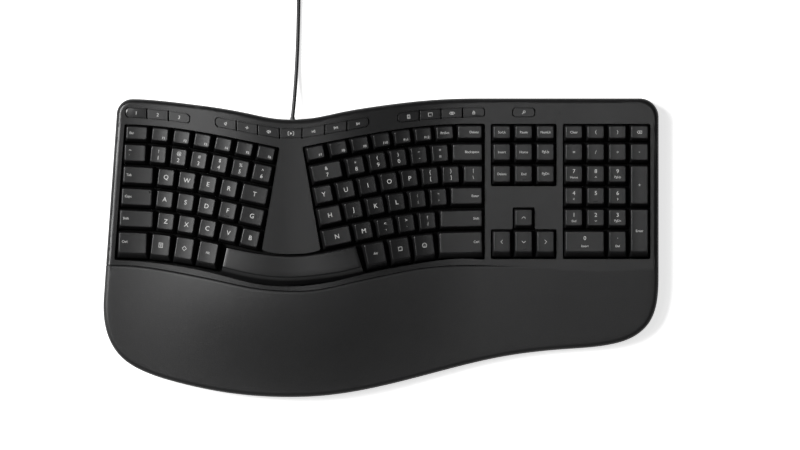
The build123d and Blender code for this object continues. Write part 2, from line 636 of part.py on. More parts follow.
with BuildSketch() as block_wells:
    with Locations(((navigation_left + navigation_right) / 2, (block_rear + navigation_front) / 2)):
        Rectangle(navigation_right - navigation_left, block_rear - navigation_front)
    with Locations(((number_left + number_right) / 2, (block_rear + block_front) / 2)):
        Rectangle(number_right - number_left, block_rear - block_front)
    with Locations(((navigation_left + navigation_right) / 2, (arrow_rear + block_front) / 2)):
        Rectangle(navigation_right - navigation_left, arrow_rear - block_front)
    with Locations((arrow_middle, (arrow_top + block_front) / 2)):
        Rectangle(2 * block_half, arrow_top - block_front)
    fillet(block_wells.vertices(), WELL_CORNER)


def hot_key_plan(group, grow, flange, divided):
    """The plan of a hot key group, grown all round and lengthened, and cut into its keys."""
    line = plan(HOT_KEY_SHARES[group])
    half = HOT_KEY_DEPTH / 2
    with BuildSketch() as keys_plan:
        with BuildLine():
            Polyline(
                *[(x, y + half) for x, y in line],
                *[(x, y - half) for x, y in reversed(line)], close=True)
        make_face()
        ends = keys_plan.vertices().sort_by(Axis.X)
        chamfer(ends[:2] + ends[-2:], HOT_KEY_CORNER)
        if grow:
            offset(amount=grow, kind=Kind.INTERSECTION)
        if flange:
            add(keys_plan.sketch.moved(Location((0, flange, 0))))
            add(keys_plan.sketch.moved(Location((0, -flange, 0))))
        if divided:
            for x, y in line[1:-1]:
                with Locations((x, y)):
                    Rectangle(HOT_KEY_GAP, 4 * HOT_KEY_DEPTH, mode=Mode.SUBTRACT)
    return keys_plan.sketch


def hot_key_line(group, depth):
    """The straight-sided section line of a hot key group, a depth under the deck."""
    line = plan(HOT_KEY_SHARES[group])
    points = [(x, deck_height(x) - depth) for x, _ in line]
    (x0, z0), (x1, z1), (x2, z2), (x3, z3) = points[0], points[1], points[-2], points[-1]
    before = (x0 - PITCH, z0 - PITCH * (z1 - z0) / (x1 - x0))
    after = (x3 + PITCH, z3 + PITCH * (z3 - z2) / (x3 - x2))
    return [before] + points + [after]


def hot_key_band(group, sketch, top, bottom):
    """A hot key plan raised between two depths under the deck."""
    with BuildPart() as band:
        with BuildSketch():
            add(sketch)
        extrude(amount=TALL)
        with BuildSketch(Plane.XZ.offset(-REACH)):
            with BuildLine():
                Polyline(*hot_key_line(group, top), *reversed(hot_key_line(group, bottom)), close=True)
            make_face()
        extrude(amount=2 * REACH, mode=Mode.INTERSECT)
    return band.part


def sheet_space(top, bottom):
    """Everything between two depths under the deck, in straight facets a pitch long."""
    steps = range(-15, 16)
    upper = [(n * PITCH, deck_height(n * PITCH) - top) for n in steps]
    lower = [(n * PITCH, deck_height(n * PITCH) - bottom) for n in reversed(steps)]
    with BuildPart() as space:
        with BuildSketch(Plane.XZ.offset(-REACH)):
            with BuildLine():
                Polyline(*upper, *lower, close=True)
            make_face()
        extrude(amount=2 * REACH)
    return space.part


# The strain relief sits square in the rear wall
relief_plane = Plane(
    origin=(CORD_ROUTE[0][0], CORD_ROUTE[0][1] - RELIEF_OUT, CORD_ROUTE[0][2]), z_dir=(0, 1, 0))

# Collars under the deck hold the guide frame down round each screw boss
with BuildPart() as collars:
    for x, y in plan(DECK_SCREW_SHARES):
        with BuildSketch(Plane.XY.offset(deck_height(x) - DECK_WALL / 2)):
            with Locations((x, y)):
                Rectangle(COLLAR_WIDTH, COLLAR_WIDTH)
        extrude(amount=-FRAME_DEPTH - COLLAR_WIDTH)
    add(sheet_space(FRAME_DEPTH, TALL), mode=Mode.SUBTRACT)

# The deck's hollow: the same outline and crown, one wall inside
with BuildPart() as deck_core:
    with BuildSketch():
        add(case_outline(SIDE_WALL))
    extrude(amount=TALL)
    with BuildSketch():
        add(seam_region(SIDE_WALL + SEAM_GAP, True))
    extrude(amount=TALL, mode=Mode.INTERSECT)
    with BuildSketch(Plane.XZ.offset(-REACH)):
        with BuildLine():
            edge = Spline(*profile(DECK_WALL))
            Polyline(edge @ 1, (REACH, 2 * TALL), (-REACH, 2 * TALL), edge @ 0)
        make_face()
    extrude(amount=2 * REACH, mode=Mode.SUBTRACT)

# The top case: gull-wing deck with rolled rim, key wells, hot key slots and screw bosses
with BuildPart() as top_case:
    with BuildSketch(Plane.XY.offset(PARTING_HEIGHT)):
        add(case_outline(0))
    extrude(amount=TALL)
    with BuildSketch():
        add(seam_region(SEAM_GAP, True))
    extrude(amount=TALL, mode=Mode.INTERSECT)
    with BuildSketch(Plane.XZ.offset(-REACH)):
        with BuildLine():
            edge = Spline(*profile(0))
            Polyline(edge @ 1, (REACH, 2 * TALL), (-REACH, 2 * TALL), edge @ 0)
        make_face()
    extrude(amount=2 * REACH, mode=Mode.SUBTRACT)
    deck_face = top_case.faces().filter_by(lambda face: face.center().Z > PARTING_HEIGHT).sort_by(SortBy.AREA)[-1]
    rim = deck_face.edges().filter_by(lambda edge: edge.center().Y > 0)
    fillet(rim, RIM_RADIUS)
    add(deck_core.part, mode=Mode.SUBTRACT)
    with BuildSketch():
        add(main_well.sketch)
        add(block_wells.sketch)
        for group in HOT_KEY_SHARES:
            add(hot_key_plan(group, HOT_KEY_GAP, 0, False))
    extrude(amount=TALL, mode=Mode.SUBTRACT)
    add(collars.part)
    for x, y in plan(DECK_SCREW_SHARES):
        with BuildSketch(Plane.XY.offset(BOSS_SEAT_HEIGHT)):
            with Locations((x, y)):
                Circle(BOSS_DIAMETER / 2)
                Circle(SCREW_DIAMETER / 2, mode=Mode.SUBTRACT)
        extrude(amount=deck_height(x) - DECK_WALL / 2 - BOSS_SEAT_HEIGHT)
    with Locations(relief_plane):
        Cylinder(RELIEF_NECK_DIAMETER / 2 + RELIEF_HOLE_FIT, 4 * SIDE_WALL, mode=Mode.SUBTRACT)
top_case.part.label = "top_case"
export_step(top_case.part, "parts/top_case.step")

# Hot keys: flush keys that follow the deck, each with a flange under it and a stem
for group in HOT_KEY_SHARES:
    with BuildPart() as hot_group:
        add(hot_key_band(group, hot_key_plan(group, 0, 0, True), -HOT_KEY_PROUD, HOT_KEY_HEIGHT - HOT_KEY_PROUD))
        flange_top = DECK_WALL + HOT_KEY_FLANGE_GAP
        add(hot_key_band(
            group, hot_key_plan(group, 0, HOT_KEY_GAP + HOT_KEY_FLANGE, True),
            flange_top, flange_top + HOT_KEY_FLANGE_WALL))
        for _, x, y in [key for key in hot_keys if key[0] == group]:
            top = deck_height(x * PITCH) - HOT_KEY_HEIGHT / 2
            with BuildSketch(Plane.XY.offset(top)):
                with Locations((x * PITCH, y * PITCH)):
                    Rectangle(STEM_WIDTH, STEM_WIDTH)
            extrude(amount=HOT_KEY_HEIGHT / 2 - STEM_END_DEPTH)
    hot_group.part.label = group
    export_step(hot_group.part, f"parts/{group}.step")


def palm_space(drop):
    """Everything under the palm surface, lowered by a drop."""
    count = 48
    steps = [REACH * (2 * n / count - 1) for n in range(count + 1)]
    with BuildPart() as space:
        for y_share, flat_share, crown_share in PALM_SECTION_SHARES:
            with BuildSketch(Plane.XZ.offset(-y_share * PITCH)):
                with BuildLine():
                    edge = Spline(*[
                        (x, flat_share * DECK_EDGE_HEIGHT + crown_share * crown_rise(x) - drop) for x in steps])
                    Polyline(edge @ 1, (REACH, -TALL), (-REACH, -TALL), edge @ 0)
                make_face()
        loft()
    return space.part


def palm_block(inset, drop, level):
    """The palm rest's solid shape, drawn in by an inset and lowered by a drop."""
    with BuildPart() as block:
        with BuildSketch(Plane.XY.offset(level)):
            add(case_outline(inset))
        extrude(amount=TALL)
        with BuildSketch(Plane.XY.offset(-OVERRUN)):
            add(seam_region(-inset, False))
        extrude(amount=2 * TALL, mode=Mode.INTERSECT)
        add(palm_space(drop), mode=Mode.INTERSECT)
    return block.part


# The soft palm rest: one pad wrapped over the tray and down to the parting line
with BuildPart() as palm_rest_pad:
    add(palm_block(0, 0, PARTING_HEIGHT))
    pad_face = palm_rest_pad.faces().filter_by(lambda face: face.center().Z > PARTING_HEIGHT).sort_by(SortBy.AREA)[-1]
    seam_edge = pad_face.edges().sort_by(SortBy.LENGTH)[-2:].sort_by(Axis.Y)[-1]
    fillet(pad_face.edges().filter_by(lambda edge: edge.length != seam_edge.length), PAD_RIM_RADIUS)
    add(palm_block(PAD_SKIRT, PAD_THICKNESS, 0), mode=Mode.SUBTRACT)
palm_rest_pad.part.label = "palm_rest_pad"
export_step(palm_rest_pad.part, "parts/palm_rest_pad.step")

# The stiff tray under the pad, with its screw bosses
tray_inset = PAD_SKIRT + SOFT_CLEARANCE
tray_drop = PAD_THICKNESS + SOFT_CLEARANCE
with BuildPart() as tray_bosses:
    for x, y in plan(PALM_SCREW_SHARES):
        with BuildSketch(Plane.XY.offset(BOSS_SEAT_HEIGHT)):
            with Locations((x, y)):
                Circle(BOSS_DIAMETER / 2)
        extrude(amount=TALL)
    add(palm_space(tray_drop), mode=Mode.INTERSECT)
with BuildPart() as palm_rest_tray:
    add(palm_block(tray_inset, tray_drop, 0))
    add(palm_space(tray_drop + TRAY_WALL), mode=Mode.SUBTRACT)
    add(tray_bosses.part)
    with BuildSketch():
        with Locations(*plan(PALM_SCREW_SHARES)):
            Circle(SCREW_DIAMETER / 2)
    extrude(amount=BOSS_SEAT_HEIGHT - SCREW_HEAD_HEIGHT + SCREW_GRIP, mode=Mode.SUBTRACT)
palm_rest_tray.part.label = "palm_rest_tray"
export_step(palm_rest_tray.part, "parts/palm_rest_tray.step")

# Sizes of the bottom case that its neighbours share
all_screws = plan(DECK_SCREW_SHARES) + plan(PALM_SCREW_SHARES)
screw_seat = BOSS_SEAT_HEIGHT - HEAD_POCKET_WALL
head_pocket = SCREW_HEAD_DIAMETER + HEAD_POCKET_FIT
knuckle_radius = LEG_KNUCKLE / 2
pocket_roof = LEG_AXIS_HEIGHT + knuckle_radius + LEG_CLEARANCE
pocket_rear = knuckle_radius + LEG_CLEARANCE
pocket_front = LEG_LENGTH + FINGER_ROOM
pocket_width = LEG_WIDTH + 2 * LEG_CLEARANCE
board_x = CROWN_PEAK_SHARE * PITCH
board_y = BOARD_PLACE_SHARE * PITCH

# The bottom case: floor, low wall, screw posts, ribs, leg pockets and foot recesses
with BuildPart() as ribs:
    for x_share, front_share, rear_share in RIB_SHARES:
        with BuildSketch(Plane.XY.offset(FLOOR_TOP - OVERRUN)):
            with Locations((x_share * PITCH, (front_share + rear_share) / 2 * PITCH)):
                Rectangle(RIB_WALL, (rear_share - front_share) * PITCH)
        extrude(amount=TALL)
    add(sheet_space(-2 * TALL, PLATE_BOTTOM_DEPTH), mode=Mode.SUBTRACT)
with BuildPart() as bottom_case:
    with BuildSketch(Plane.XY.offset(BASE_LIFT)):
        add(case_outline(0))
    extrude(amount=PARTING_HEIGHT - BASE_LIFT)
    chamfer(bottom_case.faces().sort_by(Axis.Z)[0].edges(), BASE_CHAMFER)
    with BuildSketch(Plane.XY.offset(FLOOR_TOP)):
        add(case_outline(SIDE_WALL))
    extrude(amount=TALL, mode=Mode.SUBTRACT)
    add(ribs.part)
    with BuildSketch(Plane.XY.offset(FLOOR_TOP - OVERRUN)):
        with Locations(*all_screws):
            Circle(head_pocket / 2 + HEAD_POCKET_WALL)
    extrude(amount=BOSS_SEAT_HEIGHT - FLOOR_TOP + OVERRUN)
    with BuildSketch(Plane.XY.offset(FLOOR_TOP - OVERRUN)):
        with Locations((board_x, board_y)):
            with GridLocations(BOARD_WIDTH - 2 * BOARD_POST_WIDTH, BOARD_DEPTH - 2 * BOARD_POST_WIDTH, 2, 2):
                Rectangle(BOARD_POST_WIDTH, BOARD_POST_WIDTH)
    extrude(amount=BOARD_HEIGHT - FLOOR_TOP + OVERRUN)
    with BuildSketch(Plane.XY.offset(FLOOR_TOP - OVERRUN)):
        for x, y in plan(LEG_SHARES.values()):
            with Locations((x, y + (pocket_rear - pocket_front) / 2)):
                Rectangle(pocket_width + 2 * POCKET_WALL, pocket_rear + pocket_front + 2 * POCKET_WALL)
    extrude(amount=pocket_roof + POCKET_ROOF - FLOOR_TOP + OVERRUN)
    with BuildSketch():
        for x, y in plan(LEG_SHARES.values()):
            with Locations((x, y + (pocket_rear - pocket_front) / 2)):
                Rectangle(pocket_width, pocket_rear + pocket_front)
    extrude(amount=pocket_roof, mode=Mode.SUBTRACT)
    with BuildSketch():
        with Locations(*all_screws):
            Circle(head_pocket / 2)
    extrude(amount=screw_seat, mode=Mode.SUBTRACT)
    with BuildSketch():
        with Locations(*all_screws):
            Circle(SCREW_DIAMETER / 2)
    extrude(amount=TALL, mode=Mode.SUBTRACT)
    with BuildSketch():
        with Locations(*plan(FOOT_SHARES)):
            Circle((FOOT_DIAMETER + FOOT_FIT) / 2)
    extrude(amount=BASE_LIFT + FOOT_RECESS, mode=Mode.SUBTRACT)
    for x, y in plan(LEG_SHARES.values()):
        with Locations(Plane(origin=(x, y, LEG_AXIS_HEIGHT), z_dir=(1, 0, 0))):
            Cylinder(
                LEG_PIN_DIAMETER / 2 + LEG_PIN_FIT, pocket_width + 2 * LEG_PIN_LENGTH, mode=Mode.SUBTRACT)
bottom_case.part.label = "bottom_case"
export_step(bottom_case.part, "parts/bottom_case.step")

# Tilt legs: a flat flap with a round knuckle and a pin at each end
for label, (x_share, y_share) in LEG_SHARES.items():
    x, y = x_share * PITCH, y_share * PITCH
    with BuildPart() as leg:
        with BuildSketch(Plane.XY.offset(LEG_AXIS_HEIGHT - knuckle_radius)):
            with Locations((x, y - LEG_LENGTH / 2)):
                Rectangle(LEG_WIDTH, LEG_LENGTH)
        extrude(amount=LEG_WALL)
        fillet(leg.edges().filter_by(Axis.Z).sort_by(Axis.Y)[:2], LEG_TIP_CORNER)
        chamfer(leg.edges().sort_by(Axis.Y)[:2].sort_by(Axis.Z), LEG_TIP_EDGE)
        with Locations(Plane(origin=(x, y, LEG_AXIS_HEIGHT), z_dir=(1, 0, 0))):
            Cylinder(knuckle_radius, LEG_WIDTH)
            Cylinder(LEG_PIN_DIAMETER / 2, LEG_WIDTH + 2 * LEG_PIN_LENGTH)
    leg.part.label = label
    export_step(leg.part, f"parts/{label}.step")

# Rubber feet
with BuildPart() as rubber_feet:
    with BuildSketch():
        with Locations(*plan(FOOT_SHARES)):
            Circle(FOOT_DIAMETER / 2)
    extrude(amount=BASE_LIFT + FOOT_RECESS)
rubber_feet.part.label = "rubber_feet"
export_step(rubber_feet.part, "parts/rubber_feet.step")

# Case screws: a flat head against each post's shoulder and a shank in the boss
with BuildPart() as case_screws:
    with BuildSketch(Plane.XY.offset(screw_seat - SCREW_HEAD_HEIGHT)):
        with Locations(*all_screws):
            Circle(SCREW_HEAD_DIAMETER / 2)
    extrude(amount=SCREW_HEAD_HEIGHT)
    with BuildSketch(Plane.XY.offset(screw_seat - SCREW_HEAD_HEIGHT / 2)):
        with Locations(*all_screws):
            Circle(SCREW_DIAMETER / 2 - SCREW_FIT)
    extrude(amount=SCREW_GRIP)
case_screws.part.label = "case_screws"
export_step(case_screws.part, "parts/case_screws.step")

# The switch stack: its plan with an opening round every screw boss
with BuildSketch() as stack_plan:
    with BuildLine():
        Polyline(*plan(STACK_SHARES), close=True)
    make_face()
    with Locations(*plan(DECK_SCREW_SHARES)):
        Rectangle(BOSS_OPENING, BOSS_OPENING, mode=Mode.SUBTRACT)


def stack_sheet(top, wall):
    """One sheet of the stack, a wall thick, at a depth under the deck."""
    with BuildPart() as sheet:
        with BuildSketch():
            add(stack_plan.sketch)
        extrude(amount=TALL)
        add(sheet_space(top, top + wall), mode=Mode.INTERSECT)
    return sheet.part


def dome_plane(plane):
    """The plane of a dome's foot, flat on the dome sheet under a key's stem."""
    down = plane.z_dir * -1
    reach = STEM_REACH
    for _ in range(4):
        x = plane.origin.X + down.X * reach
        before = math.floor(x / PITCH) * PITCH
        low, high = deck_height(before), deck_height(before + PITCH)
        level = low + (high - low) * (x - before) / PITCH - SHEET_DEPTH - DOME_SHEET_WALL / 2
        reach = (level - plane.origin.Z) / down.Z
    tilt = Vector(low - high, 0, PITCH)
    return Plane(origin=(x, plane.origin.Y, level), x_dir=(PITCH, 0, high - low), z_dir=tilt)


# The guide frame: a square hole for every stem
with BuildPart() as key_guide_frame:
    add(stack_sheet(FRAME_DEPTH, FRAME_WALL))
    for plane in stem_planes + hot_stem_planes:
        with BuildSketch(plane.offset(-DECK_WALL)):
            Rectangle(STEM_WIDTH + 2 * STEM_CLEARANCE, STEM_WIDTH + 2 * STEM_CLEARANCE)
    extrude(amount=-TALL / 2, mode=Mode.SUBTRACT)
key_guide_frame.part.label = "key_guide_frame"
export_step(key_guide_frame.part, "parts/key_guide_frame.step")

# The dome sheet: one soft dome under every stem
with BuildPart() as dome_sheet:
    add(stack_sheet(SHEET_DEPTH, DOME_SHEET_WALL))
    for plane in stem_planes + hot_stem_planes:
        with BuildSketch(dome_plane(plane)):
            Rectangle(DOME_WIDTH, DOME_WIDTH)
    extrude(amount=DOME_HEIGHT, taper=DOME_TAPER)
dome_sheet.part.label = "dome_sheet"
export_step(dome_sheet.part, "parts/dome_sheet.step")

# The switch membrane, with a tail that drops behind the plate to the board
membrane_level = deck_height(board_x) - MEMBRANE_DEPTH - MEMBRANE_WALL / 2
stack_rear = min(y for _, y in plan(STACK_SHARES[:6]))
socket_level = BOARD_HEIGHT + BOARD_WALL + SOCKET_HEIGHT / 2
socket_rear = board_y + BOARD_DEPTH / 2
with BuildPart() as switch_membrane:
    add(stack_sheet(MEMBRANE_DEPTH, MEMBRANE_WALL))
    with BuildSketch(Plane.YZ.offset(board_x - TAIL_WIDTH / 2)):
        with BuildLine():
            Polyline(
                (stack_rear - TAIL_GRIP, membrane_level), (stack_rear + TAIL_OUT, membrane_level),
                (stack_rear + TAIL_OUT, socket_level), (socket_rear, socket_level),
                (socket_rear, socket_level - TAIL_WALL),
                (stack_rear + TAIL_OUT + TAIL_WALL, socket_level - TAIL_WALL),
                (stack_rear + TAIL_OUT + TAIL_WALL, membrane_level + TAIL_WALL / 2),
                (stack_rear - TAIL_GRIP, membrane_level + TAIL_WALL / 2), close=True)
        make_face()
    extrude(amount=TAIL_WIDTH)
switch_membrane.part.label = "switch_membrane"
export_step(switch_membrane.part, "parts/switch_membrane.step")

# The support plate under the membrane
support_plate = stack_sheet(PLATE_DEPTH, PLATE_WALL)
support_plate.label = "support_plate"
export_step(support_plate, "parts/support_plate.step")

# The controller board with its chip and tail socket
with BuildPart() as controller_board:
    with Locations((board_x, board_y, BOARD_HEIGHT + BOARD_WALL / 2)):
        Box(BOARD_WIDTH, BOARD_DEPTH, BOARD_WALL)
    with Locations((board_x, board_y - BOARD_DEPTH / 4, BOARD_HEIGHT + BOARD_WALL + CHIP_HEIGHT / 2)):
        Box(CHIP_WIDTH, CHIP_WIDTH, CHIP_HEIGHT)
    with Locations((board_x, socket_rear - SOCKET_DEPTH / 2, socket_level)):
        Box(SOCKET_WIDTH, SOCKET_DEPTH, SOCKET_HEIGHT)
controller_board.part.label = "controller_board"
export_step(controller_board.part, "parts/controller_board.step")

# The strain relief: a flange inside the rear wall, a neck through it and a tapered tip
wall_inside = -SIDE_WALL - RELIEF_FLANGE_GAP
with BuildPart() as strain_relief:
    with BuildSketch(relief_plane.offset(wall_inside - RELIEF_FLANGE_WALL)):
        Circle(RELIEF_FLANGE_DIAMETER / 2)
    extrude(amount=RELIEF_FLANGE_WALL)
    with BuildSketch(relief_plane.offset(wall_inside)):
        Circle(RELIEF_NECK_DIAMETER / 2)
    extrude(amount=-wall_inside)
    with BuildSketch(relief_plane):
        Circle(RELIEF_NECK_DIAMETER / 2)
    with BuildSketch(relief_plane.offset(RELIEF_OUT)):
        Circle(RELIEF_TIP_DIAMETER / 2)
    loft()
strain_relief.part.label = "strain_relief"
export_step(strain_relief.part, "parts/strain_relief.step")

# The coil: half turns that wind in, climb, wind out, climb and so on
coil_x, coil_y = COIL_MIDDLE
radii = [COIL_OUTER_RADIUS]
climbs = []
inward = True
for layer in range(COIL_LAYERS):
    for turn in range(COIL_HALF_TURNS):
        last = turn == COIL_HALF_TURNS - 1
        if layer == COIL_LAYERS - 1 and last:
            break
        step = COIL_CLIMB_STEP if last or (turn == 0 and layer) else COIL_PITCH / 2
        radii.append(radii[-1] - step if inward else radii[-1] + step)
    if layer < COIL_LAYERS - 1:
        climbs.append(len(radii) - 1)
        radii.append(radii[-1])
        inward = not inward
with BuildLine() as coil_path:
    level = COIL_LEVEL
    for turn in range(len(radii) - 1):
        side = 1 if turn % 2 == 0 else -1
        start = Vector(coil_x + side * radii[turn], coil_y, level)
        middle_x = coil_x + side * (radii[turn] - radii[turn + 1]) / 2
        half = (radii[turn] + radii[turn + 1]) / 2
        if turn in climbs:
            points = [start]
            for part in range(1, 8):
                angle = math.pi * part / 8
                rise = COIL_PITCH * (1 - math.cos(angle)) / 2
                points.append((
                    middle_x + side * half * math.cos(angle), coil_y + side * half * math.sin(angle),
                    level + rise))
            level += COIL_PITCH
            points.append((middle_x - side * half, coil_y, level))
            Spline(*points, tangents=[(0, side, 0), (0, -side, 0)], tangent_scalars=END_PULL_SHARES)
        else:
            ThreePointArc(
                start, (middle_x, coil_y + side * half, level), (middle_x - side * half, coil_y, level))
coil_end = coil_path.wires()[0] @ 1
coil_top = level


def make_cord(wire, label):
    """A cord along a free curve, through flat-sided sections set square to it."""
    steps = int(wire.length / CORD_STEP)
    with BuildPart() as cord:
        for step in range(steps + 1):
            along = wire % (step / steps)
            across = Vector(0, 0, 1).cross(along)
            with BuildSketch(Plane(origin=wire @ (step / steps), x_dir=across, z_dir=along)):
                RegularPolygon(CORD_DIAMETER / 2, TUBE_SIDES)
        loft()
    cord.part.label = label
    export_step(cord.part, f"parts/{label}.step")


# The cord: from the strain relief to the coil, the coil, and its tail to the plug
with BuildLine() as cord_path:
    Spline(
        *CORD_ROUTE, (coil_x + COIL_OUTER_RADIUS, coil_y, COIL_LEVEL), tangents=[(0, 1, 0), (0, 1, 0)],
        tangent_scalars=END_PULL_SHARES)
with BuildLine() as tail_path:
    Spline(
        coil_end, *[(coil_x + x, coil_y + y, z) for x, y, z in TAIL_ROUTE],
        tangents=[(0, 1, 0), (-1, 0, 0)], tangent_scalars=END_PULL_SHARES)
make_cord(cord_path.wires()[0], "cord_run")
make_cord(tail_path.wires()[0], "cord_tail")
coil_wire = coil_path.wires()[0]
with BuildPart() as cord_coil:
    with BuildSketch(Plane(origin=coil_wire @ 0, z_dir=coil_wire % 0)):
        RegularPolygon(CORD_DIAMETER / 2, TUBE_SIDES)
    sweep(path=coil_wire, is_frenet=True)
cord_coil.part.label = "cord_coil"
export_step(cord_coil.part, "parts/cord_coil.step")

# The tie: a strap round the whole coil at its left side
tie_level = COIL_LEVEL - CORD_DIAMETER / 2 - TIE_GAP
tie_top = coil_top + CORD_DIAMETER / 2 + TIE_GAP
tie_far = max(radii) + CORD_DIAMETER / 2 + TIE_GAP
tie_near = math.sqrt((min(radii) - CORD_DIAMETER / 2) ** 2 - (TIE_WIDTH / 2) ** 2) - TIE_GAP
with BuildPart() as coil_tie:
    with BuildSketch(Plane.XZ.offset(-coil_y - TIE_WIDTH / 2)):
        with Locations((coil_x - (tie_far + tie_near) / 2, (tie_top + tie_level) / 2)):
            Rectangle(tie_far - tie_near + 2 * TIE_WALL, tie_top - tie_level + 2 * TIE_WALL)
            Rectangle(tie_far - tie_near, tie_top - tie_level, mode=Mode.SUBTRACT)
    extrude(amount=TIE_WIDTH)
coil_tie.part.label = "coil_tie"
export_step(coil_tie.part, "parts/coil_tie.step")

# The plug: a moulded grip and a metal shell with its tongue
plug_x, plug_y, plug_z = coil_x + TAIL_ROUTE[-1][0], coil_y + TAIL_ROUTE[-1][1], TAIL_ROUTE[-1][2]
with BuildPart() as plug_grip:
    with Locations((plug_x - PLUG_GRIP_LENGTH / 2, plug_y, plug_z)):
        Box(PLUG_GRIP_LENGTH, PLUG_GRIP_WIDTH, PLUG_GRIP_HEIGHT)
    chamfer(plug_grip.edges().filter_by(Axis.X), PLUG_GRIP_HEIGHT / 4)
plug_grip.part.label = "plug_grip"
export_step(plug_grip.part, "parts/plug_grip.step")
shell_x = plug_x - PLUG_GRIP_LENGTH - PLUG_SHELL_LENGTH / 2
with BuildPart() as plug_shell:
    with Locations((shell_x, plug_y, plug_z)):
        Box(PLUG_SHELL_LENGTH, PLUG_SHELL_WIDTH, PLUG_SHELL_HEIGHT)
    with Locations((shell_x - PLUG_SHELL_WALL, plug_y, plug_z)):
        Box(
            PLUG_SHELL_LENGTH, PLUG_SHELL_WIDTH - 2 * PLUG_SHELL_WALL,
            PLUG_SHELL_HEIGHT - 2 * PLUG_SHELL_WALL, mode=Mode.SUBTRACT)
    with Locations((shell_x, plug_y, plug_z + (PLUG_SHELL_HEIGHT - PLUG_TONGUE_HEIGHT) / 2 - PLUG_SHELL_WALL)):
        Box(PLUG_SHELL_LENGTH - 2 * PLUG_SHELL_WALL, PLUG_SHELL_WIDTH - 2 * PLUG_SHELL_WALL, PLUG_TONGUE_HEIGHT)
plug_shell.part.label = "plug_shell"
export_step(plug_shell.part, "parts/plug_shell.step")


def least_radius(wire):
    """The least bend radius along a wire, from three points at a time."""
    steps = max(int(wire.length / CORD_DIAMETER), 8)
    points = [wire @ (n / steps) for n in range(steps + 1)]
    least = REACH
    for a, b, c in zip(points, points[1:], points[2:]):
        area = (b - a).cross(c - a).length / 2
        if area > 0:
            least = min(least, (b - a).length * (c - b).length * (c - a).length / (4 * area))
    return least


print("cord run least radius", round(least_radius(cord_path.wires()[0]), 1))
print("cord coil least radius", round(least_radius(coil_path.wires()[0]), 1))
print("cord tail least radius", round(least_radius(tail_path.wires()[0]), 1))
count = int(coil_wire.length / (CORD_DIAMETER / 2))
places = [tuple(coil_wire @ (n / count)) for n in range(count + 1)]
skip = int(2 * CORD_DIAMETER / (CORD_DIAMETER / 2)) + 2
least_gap = min(
    math.dist(places[a], places[b]) for a in range(count + 1) for b in range(a + skip, count + 1))
print("coil least self gap", round(least_gap - CORD_DIAMETER, 2))
print("cord length", round(cord_path.wires()[0].length + coil_wire.length + tail_path.wires()[0].length))
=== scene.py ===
"""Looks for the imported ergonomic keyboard: keycaps, deck, palm rest, cord, finishes and stage."""

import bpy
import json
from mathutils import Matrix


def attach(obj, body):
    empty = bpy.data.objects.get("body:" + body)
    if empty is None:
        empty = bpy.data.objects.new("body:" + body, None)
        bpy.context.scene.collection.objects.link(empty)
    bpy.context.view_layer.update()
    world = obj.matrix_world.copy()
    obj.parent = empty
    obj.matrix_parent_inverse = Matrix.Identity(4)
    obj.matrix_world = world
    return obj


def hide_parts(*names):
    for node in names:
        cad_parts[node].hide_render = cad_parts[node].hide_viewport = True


bl_info = {
    "name": "Ergonomic Keyboard",
    "version": (1, 0, 0),
    "blender": (4, 5, 0),
    "location": "View3D > Sidebar > Keyboard",
    "description": "Builds the keycaps, deck, palm rest, cord and finishes of a curved keyboard",
    "category": "Object",
}

import functools
import json
import math

import bmesh
import bpy
import numpy as np
from bpy.props import FloatProperty, FloatVectorProperty, PointerProperty
from mathutils import Vector
from mathutils.geometry import delaunay_2d_cdt

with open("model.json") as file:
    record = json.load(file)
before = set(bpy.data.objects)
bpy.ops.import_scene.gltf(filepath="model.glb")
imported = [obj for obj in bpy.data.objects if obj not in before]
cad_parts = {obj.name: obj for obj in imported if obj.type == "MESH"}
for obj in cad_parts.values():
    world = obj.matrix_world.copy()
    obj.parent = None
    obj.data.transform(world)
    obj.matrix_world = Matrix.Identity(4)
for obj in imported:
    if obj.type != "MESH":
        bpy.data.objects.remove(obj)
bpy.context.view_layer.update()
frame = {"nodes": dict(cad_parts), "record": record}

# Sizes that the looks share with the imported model, in metres
MM = 0.001
PITCH = 0.01905
CROWN_PEAK = -4.07 * PITCH
CROWN_REACH = 8.66 * PITCH
CROWN_RISE = 17.2 * MM
DECK_EDGE = 18.0 * MM
KEY_HEIGHT = 7.4 * MM
KEY_RISE = 4.0 * MM
BODY = "case"

QUARTER = math.pi / 2
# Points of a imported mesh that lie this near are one, and edges sharper than this get softened
WELD_GAP = 0.002 * MM
SHARP = 40


def crown_rise(x):
    """How far the crown stands above the deck's flat ends."""
    off = min(abs(x - CROWN_PEAK) / CROWN_REACH, 1)
    return CROWN_RISE * (1 + math.cos(math.pi * off)) / 2


def crown_slope(x):
    """The slope of the crown along the keyboard."""
    off = max(-1, min(1, (x - CROWN_PEAK) / CROWN_REACH))
    return -CROWN_RISE * math.pi / (2 * CROWN_REACH) * math.sin(math.pi * off)


def deck_height(x):
    """The deck's height over the desk."""
    return DECK_EDGE + crown_rise(x)


def plan(shares):
    """Plan points from shares of the pitch."""
    return [(x * PITCH, y * PITCH) for x, y in shares]


# ---------------------------------------------------------------- settings


def amount(name, description, default, unit="LENGTH"):
    """A number of a settings group: a length in metres, unless its unit says otherwise."""
    return FloatProperty(name=name, description=description, default=default, unit=unit)


def millimetres(name, description, default):
    """A length of a settings group, given in millimetres."""
    return amount(name, description, default * MM)


def tint(name, description, *default):
    """A colour of a settings group."""
    return FloatVectorProperty(name=name, description=description, default=default, subtype="COLOR")


